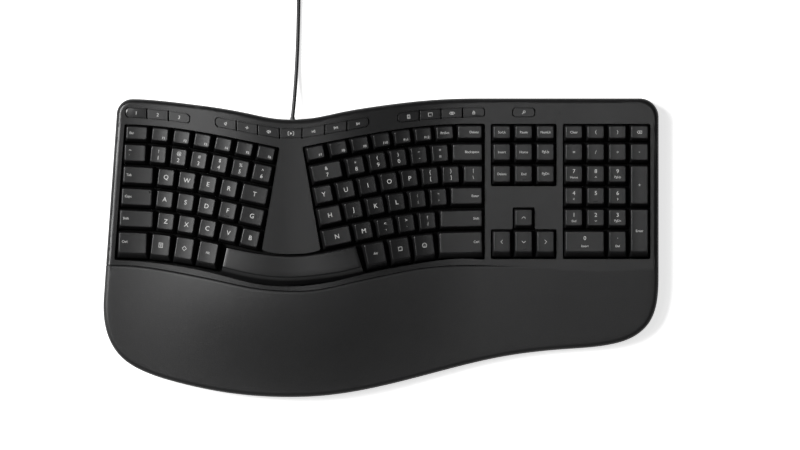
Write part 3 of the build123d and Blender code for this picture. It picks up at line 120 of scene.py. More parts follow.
class StageSettings(bpy.types.PropertyGroup):
    """Camera, lamps and floor."""

    camera_height: amount("Camera height", "Height of the overhead camera", 6.0)
    view_width: amount("View width", "Width of the ground that the picture shows", 0.698)
    lamp_distance: amount("Lamp distance", "Distance of each lamp", 4.0)
    softbox_power: amount("Softbox power", "Power of the large lamp at the upper left", 195.0, "POWER")
    softbox_size: amount("Softbox size", "Side of the large lamp", 1.6)
    side_power: amount("Side power", "Power of the lamp that gleams on the left flank", 8.6, "POWER")
    top_power: amount("Top power", "Power of the lamp that gleams on the level deck", 6.4, "POWER")
    gleam_size: amount("Gleam size", "Side of the two small lamps", 0.7)
    sky_strength: amount("Sky strength", "Strength of the even light all round", 0.04, "NONE")
    floor_glow: amount("Floor glow", "Glow that keeps the floor white to the eye", 0.7, "NONE")
    floor_colour: tint("Floor colour", "Colour of the floor", 0.92, 0.92, 0.92)


class KeycapSettings(bpy.types.PropertyGroup):
    """Shape of the keycaps."""

    edge_radius: millimetres("Edge radius", "Rounding of a cap's upper edge", 0.55)
    corner_radius: millimetres("Corner radius", "Rounding of a cap's corners in plan", 1.3)
    dish_depth: millimetres("Dish depth", "Depth of the hollow across a cap's face", 0.26)
    wall: millimetres("Wall", "Wall of a cap", 1.2)
    hot_key_inset: millimetres("Hot key inset", "How far a hot key's sides are drawn in", 0.4)
    hot_key_edge: millimetres("Hot key edge", "Rounding of a hot key's edge", 0.3)
    homing_length: millimetres("Homing bar", "Length of a homing bar", 4.2)


class LegendSettings(bpy.types.PropertyGroup):
    """Printed legends."""

    letter_size: millimetres("Letter size", "Size of the single letters", 5.6)
    digit_size: millimetres("Digit size", "Size of the digits", 4.9)
    sign_size: millimetres("Sign size", "Size of the other signs", 4.2)
    word_size: millimetres("Word size", "Size of the small words", 3.0)
    stroke: millimetres("Stroke", "Line width of the drawn signs", 0.36)
    lift: millimetres("Lift", "Thickness of the print", 0.05)


class FinishSettings(bpy.types.PropertyGroup):
    """Colours of the finishes."""

    key_colour: tint("Key plastic", "Colour of the keycaps", 0.0088, 0.0088, 0.0091)
    deck_colour: tint("Deck plastic", "Colour of the deck", 0.0088, 0.0088, 0.0091)
    leather_colour: tint("Palm leather", "Colour of the palm rest", 0.018, 0.018, 0.0184)
    base_colour: tint("Base plastic", "Colour of the base", 0.008, 0.008, 0.0083)
    ink_colour: tint("Ink", "Colour of the legends", 0.62, 0.62, 0.61)
    rubber_colour: tint("Rubber", "Colour of the feet and the cord", 0.014, 0.014, 0.015)


class CordSettings(bpy.types.PropertyGroup):
    """The cord."""

    diameter: millimetres("Diameter", "Diameter of the cord", 3.3)
    length: amount("Length", "Whole length of the cord", 2.018)
    coil_radius: millimetres("Coil radius", "Radius of the coil's outer turn", 26.3)
    coil_pitch: millimetres("Coil pitch", "Step from one turn to the next", 3.8)


class PalmSettings(bpy.types.PropertyGroup):
    """The palm rest."""

    rim_radius: millimetres("Rim radius", "Rounding of the outer rim", 4.4)
    parting: millimetres("Parting height", "Height of the pad's lower edge", 5.4)
    spacing: millimetres("Spacing", "Distance between the points of the pad's face", 4.0)
    seam_roll: millimetres("Seam roll", "How far the pad rolls down into the seam", 0.7)


# ---------------------------------------------------------------- shader groups and finishes


def new_group(name, inputs, outputs):
    """A shader group with named sockets, and its input and output nodes."""
    group = bpy.data.node_groups.new(name, "ShaderNodeTree")
    for label, kind, value in inputs:
        socket = group.interface.new_socket(label, in_out="INPUT", socket_type="NodeSocket" + kind)
        socket.default_value = value
    for label, kind in outputs:
        group.interface.new_socket(label, in_out="OUTPUT", socket_type="NodeSocket" + kind)
    return group, group.nodes.new("NodeGroupInput"), group.nodes.new("NodeGroupOutput")


def add_node(tree, kind, values=None, **settings):
    """A shader node with some of its settings, and the values of some of its inputs."""
    node = tree.nodes.new("ShaderNode" + kind)
    for name, value in settings.items():
        setattr(node, name, value)
    for socket, value in (values or {}).items():
        node.inputs[socket].default_value = value
    return node


def join(tree, *routes):
    """Links nodes. A route is a source, its output, a target and the target's input."""
    for source, out, target, into in routes:
        tree.links.new(source.outputs[out], target.inputs[into])


@functools.cache
def moulded_grain():
    """Fine spark-eroded grain: a height and a slow change of tone."""
    group, given, put = new_group(
        "Moulded Grain",
        [("Grain Scale", "Float", 2600.0), ("Tone Scale", "Float", 14.0),
         ("Colour", "Color", (0.02, 0.02, 0.02, 1)), ("Roughness", "Float", 0.4)],
        [("Height", "Float"), ("Colour", "Color"), ("Roughness", "Float")])
    place = add_node(group, "TexCoord")
    grain = add_node(group, "TexNoise", {"Detail": 3})
    tone = add_node(group, "TexNoise", {"Detail": 4})
    lighter = add_node(group, "MapRange", {"To Min": 0.88, "To Max": 1.14})
    scaled = add_node(group, "VectorMath", operation="SCALE")
    spread = add_node(group, "MapRange", {"To Min": -0.03, "To Max": 0.03})
    rough = add_node(group, "Math", operation="ADD")
    join(
        group, (place, "Object", grain, "Vector"), (place, "Object", tone, "Vector"),
        (given, "Grain Scale", grain, "Scale"), (given, "Tone Scale", tone, "Scale"),
        (grain, "Fac", put, "Height"), (tone, "Fac", lighter, "Value"), (given, "Colour", scaled, 0),
        (lighter, "Result", scaled, "Scale"), (scaled, "Vector", put, "Colour"),
        (tone, "Fac", spread, "Value"), (given, "Roughness", rough, 0), (spread, "Result", rough, 1),
        (rough, "Value", put, "Roughness"))
    return group


@functools.cache
def leather_grain():
    """Pebbled leather: rounded cells with creases between them, and a mask of the creases, which the leather
    finish uses for painted shade.
    """
    group, given, put = new_group(
        "Leather Grain", [("Cell Scale", "Float", 1500.0), ("Crease", "Float", 0.5)],
        [("Height", "Float"), ("Creases", "Float")])
    place = add_node(group, "TexCoord")
    cells = add_node(group, "TexVoronoi", feature="DISTANCE_TO_EDGE")
    fine = add_node(group, "TexNoise", {"Scale": 900, "Detail": 4})
    dome = add_node(group, "MapRange", {"From Max": 0.28}, interpolation_type="SMOOTHSTEP")
    weighted = add_node(group, "Math", operation="MULTIPLY")
    total = add_node(group, "Math", operation="ADD")
    inverse = add_node(group, "Math", {0: 1}, operation="SUBTRACT")
    join(
        group, (place, "Object", cells, "Vector"), (place, "Object", fine, "Vector"),
        (given, "Cell Scale", cells, "Scale"), (cells, "Distance", dome, "Value"),
        (dome, "Result", weighted, 0), (given, "Crease", weighted, 1), (weighted, "Value", total, 0),
        (fine, "Fac", total, 1), (total, "Value", put, "Height"), (dome, "Result", inverse, 1),
        (inverse, "Value", put, "Creases"))
    return group


def finish_start(name, colour, roughness, metallic=0.0, specular=0.5):
    """A new material, its node tree and its plain shader."""
    material = bpy.data.materials.new(name)
    material.use_nodes = True
    shader = material.node_tree.nodes["Principled BSDF"]
    for socket, value in (
            ("Base Color", (*colour, 1)), ("Roughness", roughness), ("Metallic", metallic),
            ("Specular IOR Level", specular)):
        shader.inputs[socket].default_value = value
    material.diffuse_color = (*colour, 1)
    return material, material.node_tree, shader


@functools.cache
def moulded(name, colour, roughness, grain_scale=2600, bump=0.04 * MM, metallic=0.0, specular=0.5):
    """A moulded or rubbed finish with fine grain and a slow change of tone."""
    material, tree, shader = finish_start(name, colour, roughness, metallic, specular)
    grain = add_node(
        tree, "Group", {"Grain Scale": grain_scale, "Colour": (*colour, 1), "Roughness": roughness},
        node_tree=moulded_grain())
    raised = add_node(tree, "Bump", {"Strength": 0.6, "Distance": bump})
    join(
        tree, (grain, "Colour", shader, "Base Color"), (grain, "Roughness", shader, "Roughness"),
        (grain, "Height", raised, "Height"), (raised, "Normal", shader, "Normal"))
    return material


@functools.cache
def leather(name, colour, roughness):
    """Soft coated leather with a pebbled grain, and painted shade that darkens the creases between its cells.
    """
    material, tree, shader = finish_start(name, colour, roughness)
    tone = add_node(
        tree, "Group", {"Tone Scale": 22, "Colour": (*colour, 1), "Roughness": roughness},
        node_tree=moulded_grain())
    grain = add_node(tree, "Group", node_tree=leather_grain())
    # Painted shade: the crease mask darkens the leather colour to 0.72 of itself in the creases between the
    # cells
    shade = add_node(
        tree, "Mix", {"B": (0.72, 0.72, 0.72, 1)}, data_type="RGBA", blend_type="MULTIPLY")
    raised = add_node(tree, "Bump", {"Strength": 0.7, "Distance": 0.09 * MM})
    join(
        tree, (grain, "Creases", shade, "Factor"), (tone, "Colour", shade, "A"),
        (shade, "Result", shader, "Base Color"), (tone, "Roughness", shader, "Roughness"),
        (grain, "Height", raised, "Height"), (raised, "Normal", shader, "Normal"))
    return material


def chosen(name):
    """A colour chosen in the panel."""
    return tuple(getattr(bpy.context.scene.keyboard_finish, name + "_colour"))


def key_finish():
    """The plastic of the keycaps."""
    return moulded("key_plastic", chosen("key"), 0.30)


def base_finish():
    """The coarser plastic of the base."""
    return moulded("base_plastic", chosen("base"), 0.55, grain_scale=1400, bump=0.08 * MM)


# ---------------------------------------------------------------- mesh helpers


def new_object(name, data):
    """A new object of the scene."""
    made = bpy.data.objects.new(name, data)
    bpy.context.scene.collection.objects.link(made)
    return made


def dress(piece, body, nodes):
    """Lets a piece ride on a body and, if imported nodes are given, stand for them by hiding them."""
    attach(piece, body)
    if nodes:
        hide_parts(*nodes)


def new_piece(name, verts, faces, body, material, nodes):
    """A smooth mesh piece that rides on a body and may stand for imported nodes."""
    mesh = bpy.data.meshes.new(name)
    mesh.from_pydata([tuple(v) for v in verts], [], faces)
    mesh.validate()
    mesh.polygons.foreach_set("use_smooth", [True] * len(mesh.polygons))
    mesh.materials.append(material)
    piece = new_object(name, mesh)
    dress(piece, body, nodes)
    return piece


def welded(node):
    """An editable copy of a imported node's mesh, with its seams welded."""
    mesh = bmesh.new()
    mesh.from_mesh(frame["nodes"][node].data)
    bmesh.ops.remove_doubles(mesh, verts=mesh.verts, dist=WELD_GAP)
    mesh.normal_update()
    return mesh


def edited_piece(name, edited, body, material, node):
    """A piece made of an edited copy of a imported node's mesh, in that node's place."""
    mesh = bpy.data.meshes.new(name)
    edited.to_mesh(mesh)
    edited.free()
    mesh.materials.clear()
    mesh.materials.append(material)
    piece = new_object(name, mesh)
    dress(piece, body, [node])
    return piece


def mend(piece, degrees, gap=None):
    """Welds a piece, turns its faces outward and splits the edges sharper than an angle."""
    mesh = bmesh.new()
    mesh.from_mesh(piece.data)
    if gap:
        bmesh.ops.remove_doubles(mesh, verts=mesh.verts, dist=gap)
    bmesh.ops.recalc_face_normals(mesh, faces=mesh.faces)
    mesh.to_mesh(piece.data)
    mesh.free()
    piece.modifiers.new("Crease", "EDGE_SPLIT").split_angle = math.radians(degrees)


def bevel(piece, width, degrees):
    """Rounds the edges of a piece that are sharper than an angle."""
    edge = piece.modifiers.new("Soft edges", "BEVEL")
    edge.width = width
    edge.segments = 3
    edge.limit_method = "ANGLE"
    edge.angle_limit = math.radians(degrees)


def soften(name, width, material):
    """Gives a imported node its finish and, with a width, softens its sharp edges."""
    node = frame["nodes"][name]
    node.data.materials.clear()
    node.data.materials.append(material)
    if width:
        node.modifiers.new("Weld", "WELD").merge_threshold = WELD_GAP
        bevel(node, width, SHARP)
    return node


def add_points(verts, points):
    """Adds points and returns their numbers."""
    first = len(verts)
    verts.extend(points)
    return list(range(first, len(verts)))


def bridge(faces, rings, closed=True):
    """Quads between each ring of point numbers and the next."""
    for lower, upper in zip(rings, rings[1:]):
        count = len(lower)
        for n in range(count if closed else count - 1):
            after = (n + 1) % count
            faces.append((lower[n], lower[after], upper[after], upper[n]))


def smooth_line(points, count, start=None, end=None):
    """Points at even steps along a smooth cubic through the given points."""
    given = np.array(points, float)
    gaps = np.linalg.norm(np.diff(given, axis=0), axis=1)
    knots = np.concatenate([[0], np.cumsum(gaps)])
    size = len(given)
    left, right = np.zeros((size, size)), np.zeros((size, given.shape[1]))
    for n in range(1, size - 1):
        before, after = gaps[n - 1], gaps[n]
        left[n, n - 1:n + 2] = (after, 2 * (before + after), before)
        right[n] = 3 * (
            after * (given[n] - given[n - 1]) / before + before * (given[n + 1] - given[n]) / after)
    for row, wanted, inner in ((0, start, 1), (size - 1, end, size - 2)):
        left[row, row] = 1 if wanted is not None else 2
        if wanted is not None:
            right[row] = np.array(wanted, float) / np.linalg.norm(wanted)
        else:
            left[row, inner] = 1
            gap = gaps[0] if row == 0 else gaps[-1]
            step = given[1] - given[0] if row == 0 else given[-1] - given[-2]
            right[row] = 3 * step / gap
    slopes = np.linalg.solve(left, right)
    made = []
    for along in np.linspace(0, knots[-1], count):
        n = min(max(int(np.searchsorted(knots, along)) - 1, 0), size - 2)
        part = (along - knots[n]) / gaps[n]
        made.append(
            (2 * part**3 - 3 * part**2 + 1) * given[n]
            + (part**3 - 2 * part**2 + part) * gaps[n] * slopes[n]
            + (3 * part**2 - 2 * part**3) * given[n + 1] + (part**3 - part**2) * gaps[n] * slopes[n + 1])
    return made


# ---------------------------------------------------------------- stage

# The middle of the picture on the ground
VIEW_MIDDLE = (16.6 * MM, 19.8 * MM)
VIEW_END = 50
FLOOR_REACH = 6.0
FLOOR_STEPS = 24
WHITE = (1, 1, 1, 1)


def shown_plainly(tree, shaded, plain, put):
    """Shows the eye the plain shader, also through clear parts, and all other rays the shaded one."""
    path = add_node(tree, "LightPath")
    seen = add_node(tree, "Math", operation="MAXIMUM")
    choose = add_node(tree, "MixShader")
    join(
        tree, (path, "Is Camera Ray", seen, 0), (path, "Is Transmission Ray", seen, 1),
        (seen, "Value", choose, "Fac"), (shaded, 0, choose, 1), (plain, 0, choose, 2),
        (choose, "Shader", put, "Surface"))


class KEYBOARD_OT_stage(bpy.types.Operator):
    """Makes the overhead camera, the lamps, the even light and the pale floor"""

    bl_idname = "keyboard.stage"
    bl_label = "Stage"

    def execute(self, context):
        settings = context.scene.keyboard_stage
        scene = context.scene
        scene.view_settings.view_transform = "Standard"
        camera = new_object("camera", bpy.data.cameras.new("camera"))
        camera.location = (*VIEW_MIDDLE, settings.camera_height + (DECK_EDGE + KEY_RISE))
        camera.data.lens = camera.data.sensor_width * settings.camera_height / settings.view_width
        camera.data.clip_end = VIEW_END
        scene.camera = camera

        # Each lamp leans from the upright, to the right and to the rear, by so many degrees
        for name, power, size, leans in (
                ("softbox", settings.softbox_power, settings.softbox_size, (-45, 20)),
                ("side_lamp", settings.side_power, settings.gleam_size, (-25, 4)),
                ("top_lamp", settings.top_power, settings.gleam_size, (4, 4))):
            light = bpy.data.lights.new(name, "AREA")
            light.energy = power
            light.size = size
            lamp = new_object(name, light)
            toward = Vector((*(math.tan(math.radians(lean)) for lean in leans), 1)).normalized()
            lamp.location = toward * settings.lamp_distance
            lamp.rotation_euler = (-toward).to_track_quat("-Z", "Y").to_euler()
            lamp.visible_camera = False

        world = bpy.data.worlds.new("even_light")
        scene.world = world
        world.use_nodes = True
        tree = world.node_tree
        sky = tree.nodes["Background"]
        sky.inputs["Color"].default_value = WHITE
        sky.inputs["Strength"].default_value = settings.sky_strength
        plain = add_node(tree, "Background", {"Color": WHITE})
        shown_plainly(tree, sky, plain, tree.nodes["World Output"])

        floor = self.make_floor(settings)
        return {"FINISHED"}

    def make_floor(self, settings):
        """A wide, level floor sheet with a white look towards the camera."""
        places = [(2 * n / FLOOR_STEPS - 1) * FLOOR_REACH for n in range(FLOOR_STEPS + 1)]
        row = len(places)
        mesh = bpy.data.meshes.new("floor")
        mesh.from_pydata([(x, y, 0) for y in places for x in places], [], [
            (corner, corner + 1, corner + row + 1, corner + row)
            for first in range(0, row * FLOOR_STEPS, row) for corner in range(first, first + FLOOR_STEPS)])
        material, tree, shader = finish_start(
            "floor_paper", tuple(settings.floor_colour), roughness=0.9, specular=0.2)
        glow = add_node(tree, "Emission", {"Strength": settings.floor_glow})
        added = add_node(tree, "AddShader")
        join(tree, (shader, "BSDF", added, 0), (glow, "Emission", added, 1))
        shown_plainly(tree, shader, added, tree.nodes["Material Output"])
        mesh.materials.append(material)
        return new_object("floor", mesh)


# ---------------------------------------------------------------- cord

# The cord's free run, from the strain relief to the coil, in millimetres
CORD_ROUTE = [
    (-77.3, 114.4, 9.5), (-76.6, 120.0, 9.4), (-75.4, 134.0, 6.6), (-74.2, 152.0, 3.0),
    (-73.0, 176.0, 1.75), (-72.2, 206.0, 1.75), (-72.0, 232.0, 2.4), (-72.0, 246.7, 2.8),
]
# The coil, in millimetres too: its turns step in or out by more where they climb to the next layer
COIL_MIDDLE = (-98.3, 250.0)
COIL_LEVEL = 2.8
COIL_HALF_TURNS = 7
COIL_LAYERS = 4
COIL_CLIMB_STEP = 2.3
COIL_TURN_POINTS = 8
# The tail from the coil down to the plug, counted from the coil's middle
TAIL_ROUTE = [
    (25.1, 10.0, 14.2), (25.2, 21.0, 14.15), (22.0, 32.0, 11.4), (13.0, 40.5, 7.6),
    (0.5, 44.5, 5.0), (-10.5, 45.0, 4.1),
]


def coil_radii(outer, pitch):
    """Radii between the coil's half turns, and the numbers of the half turns that climb a layer."""
    radii, climbs, inward = [outer], [], True
    for layer in range(COIL_LAYERS):
        top = layer == COIL_LAYERS - 1
        for turn in range(COIL_HALF_TURNS):
            last = turn == COIL_HALF_TURNS - 1
            if top and last:
                break
            step = COIL_CLIMB_STEP if last or (turn == 0 and layer) else pitch / 2
            radii.append(radii[-1] - step if inward else radii[-1] + step)
        if not top:
            climbs.append(len(radii) - 1)
            radii.append(radii[-1])
            inward = not inward
    return radii, climbs


def coil_points(outer, pitch):
    """Control points of the coil: half turns that wind in, climb, wind out and so on."""
    radii, climbs = coil_radii(outer, pitch)
    points, level = [], COIL_LEVEL
    # The curve runs inside its control points, so these stand further out
    outward = 4 / (3 + math.cos(math.pi / COIL_TURN_POINTS))
    for turn, (before, after) in enumerate(zip(radii, radii[1:])):
        side = 1 if turn % 2 == 0 else -1
        middle, half = side * (before - after) / 2, (before + after) / 2 * outward
        for part in range(COIL_TURN_POINTS):
            angle = math.pi * (part + 0.5) / COIL_TURN_POINTS
            rise = pitch * (1 - math.cos(angle)) / 2 if turn in climbs else 0
            points.append((
                COIL_MIDDLE[0] + middle + side * half * math.cos(angle),
                COIL_MIDDLE[1] + side * half * math.sin(angle), level + rise))
        if turn in climbs:
            level += pitch
    return points


class KEYBOARD_OT_cord(bpy.types.Operator):
    """Lays the cord behind the keyboard: its free run, its coil and its tail to the plug"""

    bl_idname = "keyboard.cord"
    bl_label = "Cord and plug"

    def execute(self, context):
        settings = context.scene.keyboard_cord
        rubber = chosen("rubber")
        route = [
            *CORD_ROUTE, *coil_points(settings.coil_radius / MM, settings.coil_pitch / MM),
            *((COIL_MIDDLE[0] + x, COIL_MIDDLE[1] + y, z) for x, y, z in TAIL_ROUTE)]
        curve = bpy.data.curves.new("cord", "CURVE")
        curve.dimensions = "3D"
        line = curve.splines.new("NURBS")
        line.points.add(len(route) - 1)
        for point, (x, y, z) in zip(line.points, route):
            point.co = (x * MM, y * MM, z * MM, 1)
        line.order_u = 3
        line.use_endpoint_u = True
        line.resolution_u = 6
        curve.bevel_depth = settings.diameter / 2
        curve.bevel_resolution = 4
        curve.use_fill_caps = True
        curve.materials.append(moulded("cord_rubber", rubber, 0.5, grain_scale=900, bump=0.05 * MM))
        cord = new_object("cord", curve)
        dress(cord, BODY, ["cord_run", "cord_coil", "cord_tail"])

        grip = soften("plug_grip", 1.2 * MM, moulded("plug_grip_plastic", rubber, 0.5, grain_scale=1800))
        shell = soften("plug_shell", 0.2 * MM, moulded(
            "plug_metal", (0.56, 0.55, 0.53), 0.28, grain_scale=4000, bump=0.01 * MM, metallic=1.0))
        tie = soften("coil_tie", 0.15 * MM, moulded("tie_plastic", (0.02, 0.02, 0.021), 0.45))
        soften("strain_relief", 0, moulded("relief_rubber", rubber, 0.5, grain_scale=1500))
        return {"FINISHED"}


# ---------------------------------------------------------------- keycaps

CAP_CORNER_STEPS = 5
CAP_SIDE_STEPS = 5
CAP_EDGE_STEPS = 4
CAP_WALL_SHARES = (0.66, 0.33, 0.14)
# Corner radii at a cap's base and on its walls, as shares of those of its face
CAP_BASE_CORNER = 1.2
CAP_WALL_CORNER = 1.1
# Where the hollow's roof lies, as a share of the way down the walls and in wall thicknesses
CAP_ROOF_SHARE = 0.2
CAP_ROOF_WALLS = 1.4
CAP_FACE_SHARES = (0.93, 0.8, 0.6, 0.4, 0.2, 0.06)
# A face of a packed cap looks up, and its long edges run across the keyboard, at least this much
FACE_UP = 0.78
EDGE_ACROSS = 0.75
EDGE_LENGTH = 4 * MM
# Which keys of a node, counted from the left, have a homing bar
HOMING_KEYS = {
    "left_home_letter_keys": (3,), "right_home_letter_keys": (1,), "number_four_row_keys": (1,),
    "arrow_keys": (2,), "delete_row_keys": (1,),
}
HOMING_WIDTH = 0.35 * MM
HOMING_HEIGHT = 0.5 * MM
HOMING_PLACE = 2.0 * MM
# Rings of a homing bar: share of its width, and share of its height
HOMING_RINGS = ((1.0, -0.1), (1.0, 0.5), (0.8, 0.85), (0.45, 1.0))
# A ring's corners are rounded by at most a side's length over this
FULLEST_ROUND = 2.02
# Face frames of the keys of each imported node, kept for the legends
KEY_FRAMES = {}


def islands(mesh):
    """The points of each separate solid of an editable mesh."""
    found, seen = [], set()
    for start in mesh.verts:
        if start in seen:
            continue
        island, waiting = [], [start]
        seen.add(start)
        while waiting:
            vert = waiting.pop()
            island.append(vert)
            for edge in vert.link_edges:
                other = edge.other_vert(vert)
                if other not in seen:
                    seen.add(other)
                    waiting.append(other)
        found.append(island)
    return found


def reach(verts, way, start):
    """How far points reach along a way, counted from a start."""
    places = [(vert.co - start).dot(way) for vert in verts]
    return min(places), max(places)


def face_frame(island, tops):
    """Middle, directions and half sizes of a cap's face, and the reach of the whole cap round it."""
    normal = sum((face.normal * face.calc_area() for face in tops), Vector()).normalized()
    along = Vector()
    for face in tops:
        for edge in face.edges:
            rim = sum(other in tops for other in edge.link_faces) == 1
            if rim and edge.calc_length() > EDGE_LENGTH:
                way = edge.verts[1].co - edge.verts[0].co
                if abs(way.normalized().x) > EDGE_ACROSS:
                    along += way if way.x > 0 else -way
    along = (along - normal * along.dot(normal)).normalized()
    across = normal.cross(along)
    corners = dict.fromkeys(vert for face in tops for vert in face.verts)
    low_u, high_u = reach(corners, along, Vector())
    low_v, high_v = reach(corners, across, Vector())
    level = sum(vert.co.dot(normal) for vert in corners) / len(corners)
    origin = along * ((low_u + high_u) / 2) + across * ((low_v + high_v) / 2) + normal * level
    return {
        "origin": origin, "along": along, "across": across, "normal": normal,
        "half_u": (high_u - low_u) / 2, "half_v": (high_v - low_v) / 2,
        "base": (*reach(island, along, origin), *reach(island, across, origin)),
    }


def key_frames(node):
    """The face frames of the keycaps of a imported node, from left to right."""
    caps = welded(node)
    found = []
    for island in islands(caps):
        tops = dict.fromkeys(
            face for vert in island for face in vert.link_faces if face.normal.z > FACE_UP)
        if tops:
            found.append(face_frame(island, tops))
    caps.free()
    return sorted(found, key=lambda cap: (round(cap["origin"].x, 3), -cap["origin"].y))


def face_point(cap, u, v, w):
    """A point of a cap's face frame."""
    return cap["origin"] + cap["along"] * u + cap["across"] * v + cap["normal"] * w


def rounded_ring(low_u, high_u, low_v, high_v, radius):
    """Points round a rectangle with rounded corners, counter-clockwise."""
    radius = min(radius, (high_u - low_u) / FULLEST_ROUND, (high_v - low_v) / FULLEST_ROUND)
    middles = (
        (high_u - radius, high_v - radius), (low_u + radius, high_v - radius),
        (low_u + radius, low_v + radius), (high_u - radius, low_v + radius))
    corners = []
    for turn, (u, v) in enumerate(middles):
        angles = [QUARTER * (turn + step / CAP_CORNER_STEPS) for step in range(CAP_CORNER_STEPS + 1)]
        corners.append([(u + radius * math.cos(a), v + radius * math.sin(a)) for a in angles])
    ring = []
    for turn, bend in enumerate(corners):
        ring += bend
        (u0, v0), (u1, v1) = bend[-1], corners[(turn + 1) % 4][0]
        for step in range(1, CAP_SIDE_STEPS):
            part = step / CAP_SIDE_STEPS
            ring.append((u0 + (u1 - u0) * part, v0 + (v1 - v0) * part))
    return ring


def dish(cap, u, depth):
    """Height of the hollow face at a place across a cap."""
    return -depth * (1 - min(1, (u / cap["half_u"]) ** 2))


def add_cap(verts, faces, cap, settings):
    """One hollow keycap with drafted walls, a rounded upper edge and a dished face."""
    half_u, half_v = cap["half_u"], cap["half_v"]
    edge, corner, depth = settings.edge_radius, settings.corner_radius, settings.dish_depth
    left, right, front, rear = cap["base"]

    def ring(share, inset, radius, level, scale=1):
        """A ring between the face (share 0) and the base (share 1); level may follow the place."""
        outline = (
            -half_u + (left + half_u) * share + inset, half_u + (right - half_u) * share - inset,
            -half_v + (front + half_v) * share + inset, half_v + (rear - half_v) * share - inset)
        return add_points(verts, [
            face_point(cap, u, v, level(u) if callable(level) else level)
            for u, v in rounded_ring(*(place * scale for place in outline), radius)])

    rings = [ring(1, 0, corner * CAP_BASE_CORNER, -KEY_HEIGHT)]
    for share in CAP_WALL_SHARES:
        rings.append(ring(share, 0, corner * CAP_WALL_CORNER, -KEY_HEIGHT * share))
    for step in range(CAP_EDGE_STEPS + 1):
        angle = QUARTER * step / CAP_EDGE_STEPS
        blend = math.sin(angle)
        drop, inset = edge * (1 - blend), edge * (1 - math.cos(angle))
        rings.append(ring(
            drop / KEY_HEIGHT, inset, corner - inset / 2,
            lambda u, drop=drop, blend=blend: -drop + blend * dish(cap, u, depth)))
    for share in CAP_FACE_SHARES:
        rings.append(ring(0, edge, corner * share, lambda u: dish(cap, u, depth), share))
    bridge(faces, rings)
    middle = add_points(verts, [face_point(cap, 0, 0, -depth)])[0]
    top = rings[-1]
    for n in range(len(top)):
        faces.append((top[n], top[(n + 1) % len(top)], middle))
    hem = ring(1, settings.wall, corner, -KEY_HEIGHT)
    roof = ring(CAP_ROOF_SHARE, settings.wall, corner, -CAP_ROOF_WALLS * settings.wall)
    bridge(faces, [hem, rings[0]])
    bridge(faces, [roof, hem])
    faces.append(tuple(reversed(roof)))


def add_homing_bar(verts, faces, cap, settings):
    """A low rounded bar near the front of a cap's face."""
    half, width = settings.homing_length / 2, HOMING_WIDTH
    place = -cap["half_v"] + HOMING_PLACE
    base = dish(cap, 0, settings.dish_depth)
    rings = []
    for grow, rise in HOMING_RINGS:
        end = half - width * (1 - grow)
        outline = rounded_ring(-end, end, place - width * grow, place + width * grow, width * grow)
        rings.append(add_points(verts, [
            face_point(cap, u, v, base + HOMING_HEIGHT * rise) for u, v in outline]))
    bridge(faces, rings)
    faces.append(tuple(rings[-1]))


def keycap_nodes():
    """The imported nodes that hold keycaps."""
    others = (BODY, "favourite_keys", "media_keys", "tool_keys", "search_key", "space_bar")
    return [
        body for body in frame["record"]["behaviour"]["bodies"]
        if body not in others and not body.endswith("_leg")]


class KEYBOARD_OT_keycaps(bpy.types.Operator):
    """Builds every keycap with drafted walls, rounded edges and a dished face"""

    bl_idname = "keyboard.keycaps"
    bl_label = "Keycaps"

    def execute(self, context):
        settings = context.scene.keyboard_keycap
        for node in keycap_nodes():
            KEY_FRAMES[node] = key_frames(node)
            verts, faces = [], []
            for place, cap in enumerate(KEY_FRAMES[node]):
                add_cap(verts, faces, cap, settings)
                if place in HOMING_KEYS.get(node, ()):
                    add_homing_bar(verts, faces, cap, settings)
            new_piece(node + "_caps", verts, faces, node, key_finish(), [node])
        lens = moulded("lens_plastic", (0.004, 0.004, 0.004), 0.15, bump=0.005 * MM)
        for node in ("caps_lock_lens", "lock_key_lenses"):
            soften(node, 0, lens)
        return {"FINISHED"}


# ---------------------------------------------------------------- space bar

# Space bar stations: rear edge and front edge of the face, in plan
SPACE_BAR_SHARES = [
    ((-7.05, 0.01), (-7.25, -0.905)), ((-6.25, -0.155), (-6.50, -1.10)),
    ((-5.30, -0.31), (-5.45, -1.30)), ((-4.15, -0.40), (-4.15, -1.385)),
    ((-3.00, -0.305), (-2.85, -1.29)), ((-2.05, -0.13), (-1.80, -1.13)),
    ((-1.15, 0.06), (-0.86, -0.90)),
]
BAR_FRONT_DRAFT = 6.0 * MM
BAR_REAR_DRAFT = 0.8 * MM
BAR_FRONT_ROLL = 1.5 * MM
BAR_REAR_ROLL = 0.7 * MM
BAR_END_ROLL = 0.7 * MM
BAR_STEPS = 84
BAR_FACE_SHARES = (0.15, 0.35, 0.55, 0.75)
BAR_WALL_SHARES = (0.05, 0.5, 0.95, 1)
# The front edge rolls over by this angle, from this share of its radius behind the edge
BAR_FRONT_TURN = math.radians(52)
BAR_FRONT_RADIUS = 1.65 * MM
BAR_FRONT_START = 0.9
BAR_FRONT_STEPS = 5
BAR_ROLL_STEPS = 4
# Corners of the hollow, in wall thicknesses: in from the front wall's foot, from the face's front
# edge and from its rear edge
BAR_HOLLOW = (1.4, 0.4, 0.6)
BAR_CREASE = 38


def quarter_roll(radius):
    """Steps of a quarter turn: how far in, and how far down."""
    angles = [QUARTER * step / BAR_ROLL_STEPS for step in range(BAR_ROLL_STEPS + 1)]
    return [(radius * (1 - math.cos(angle)), radius * (1 - math.sin(angle))) for angle in angles]


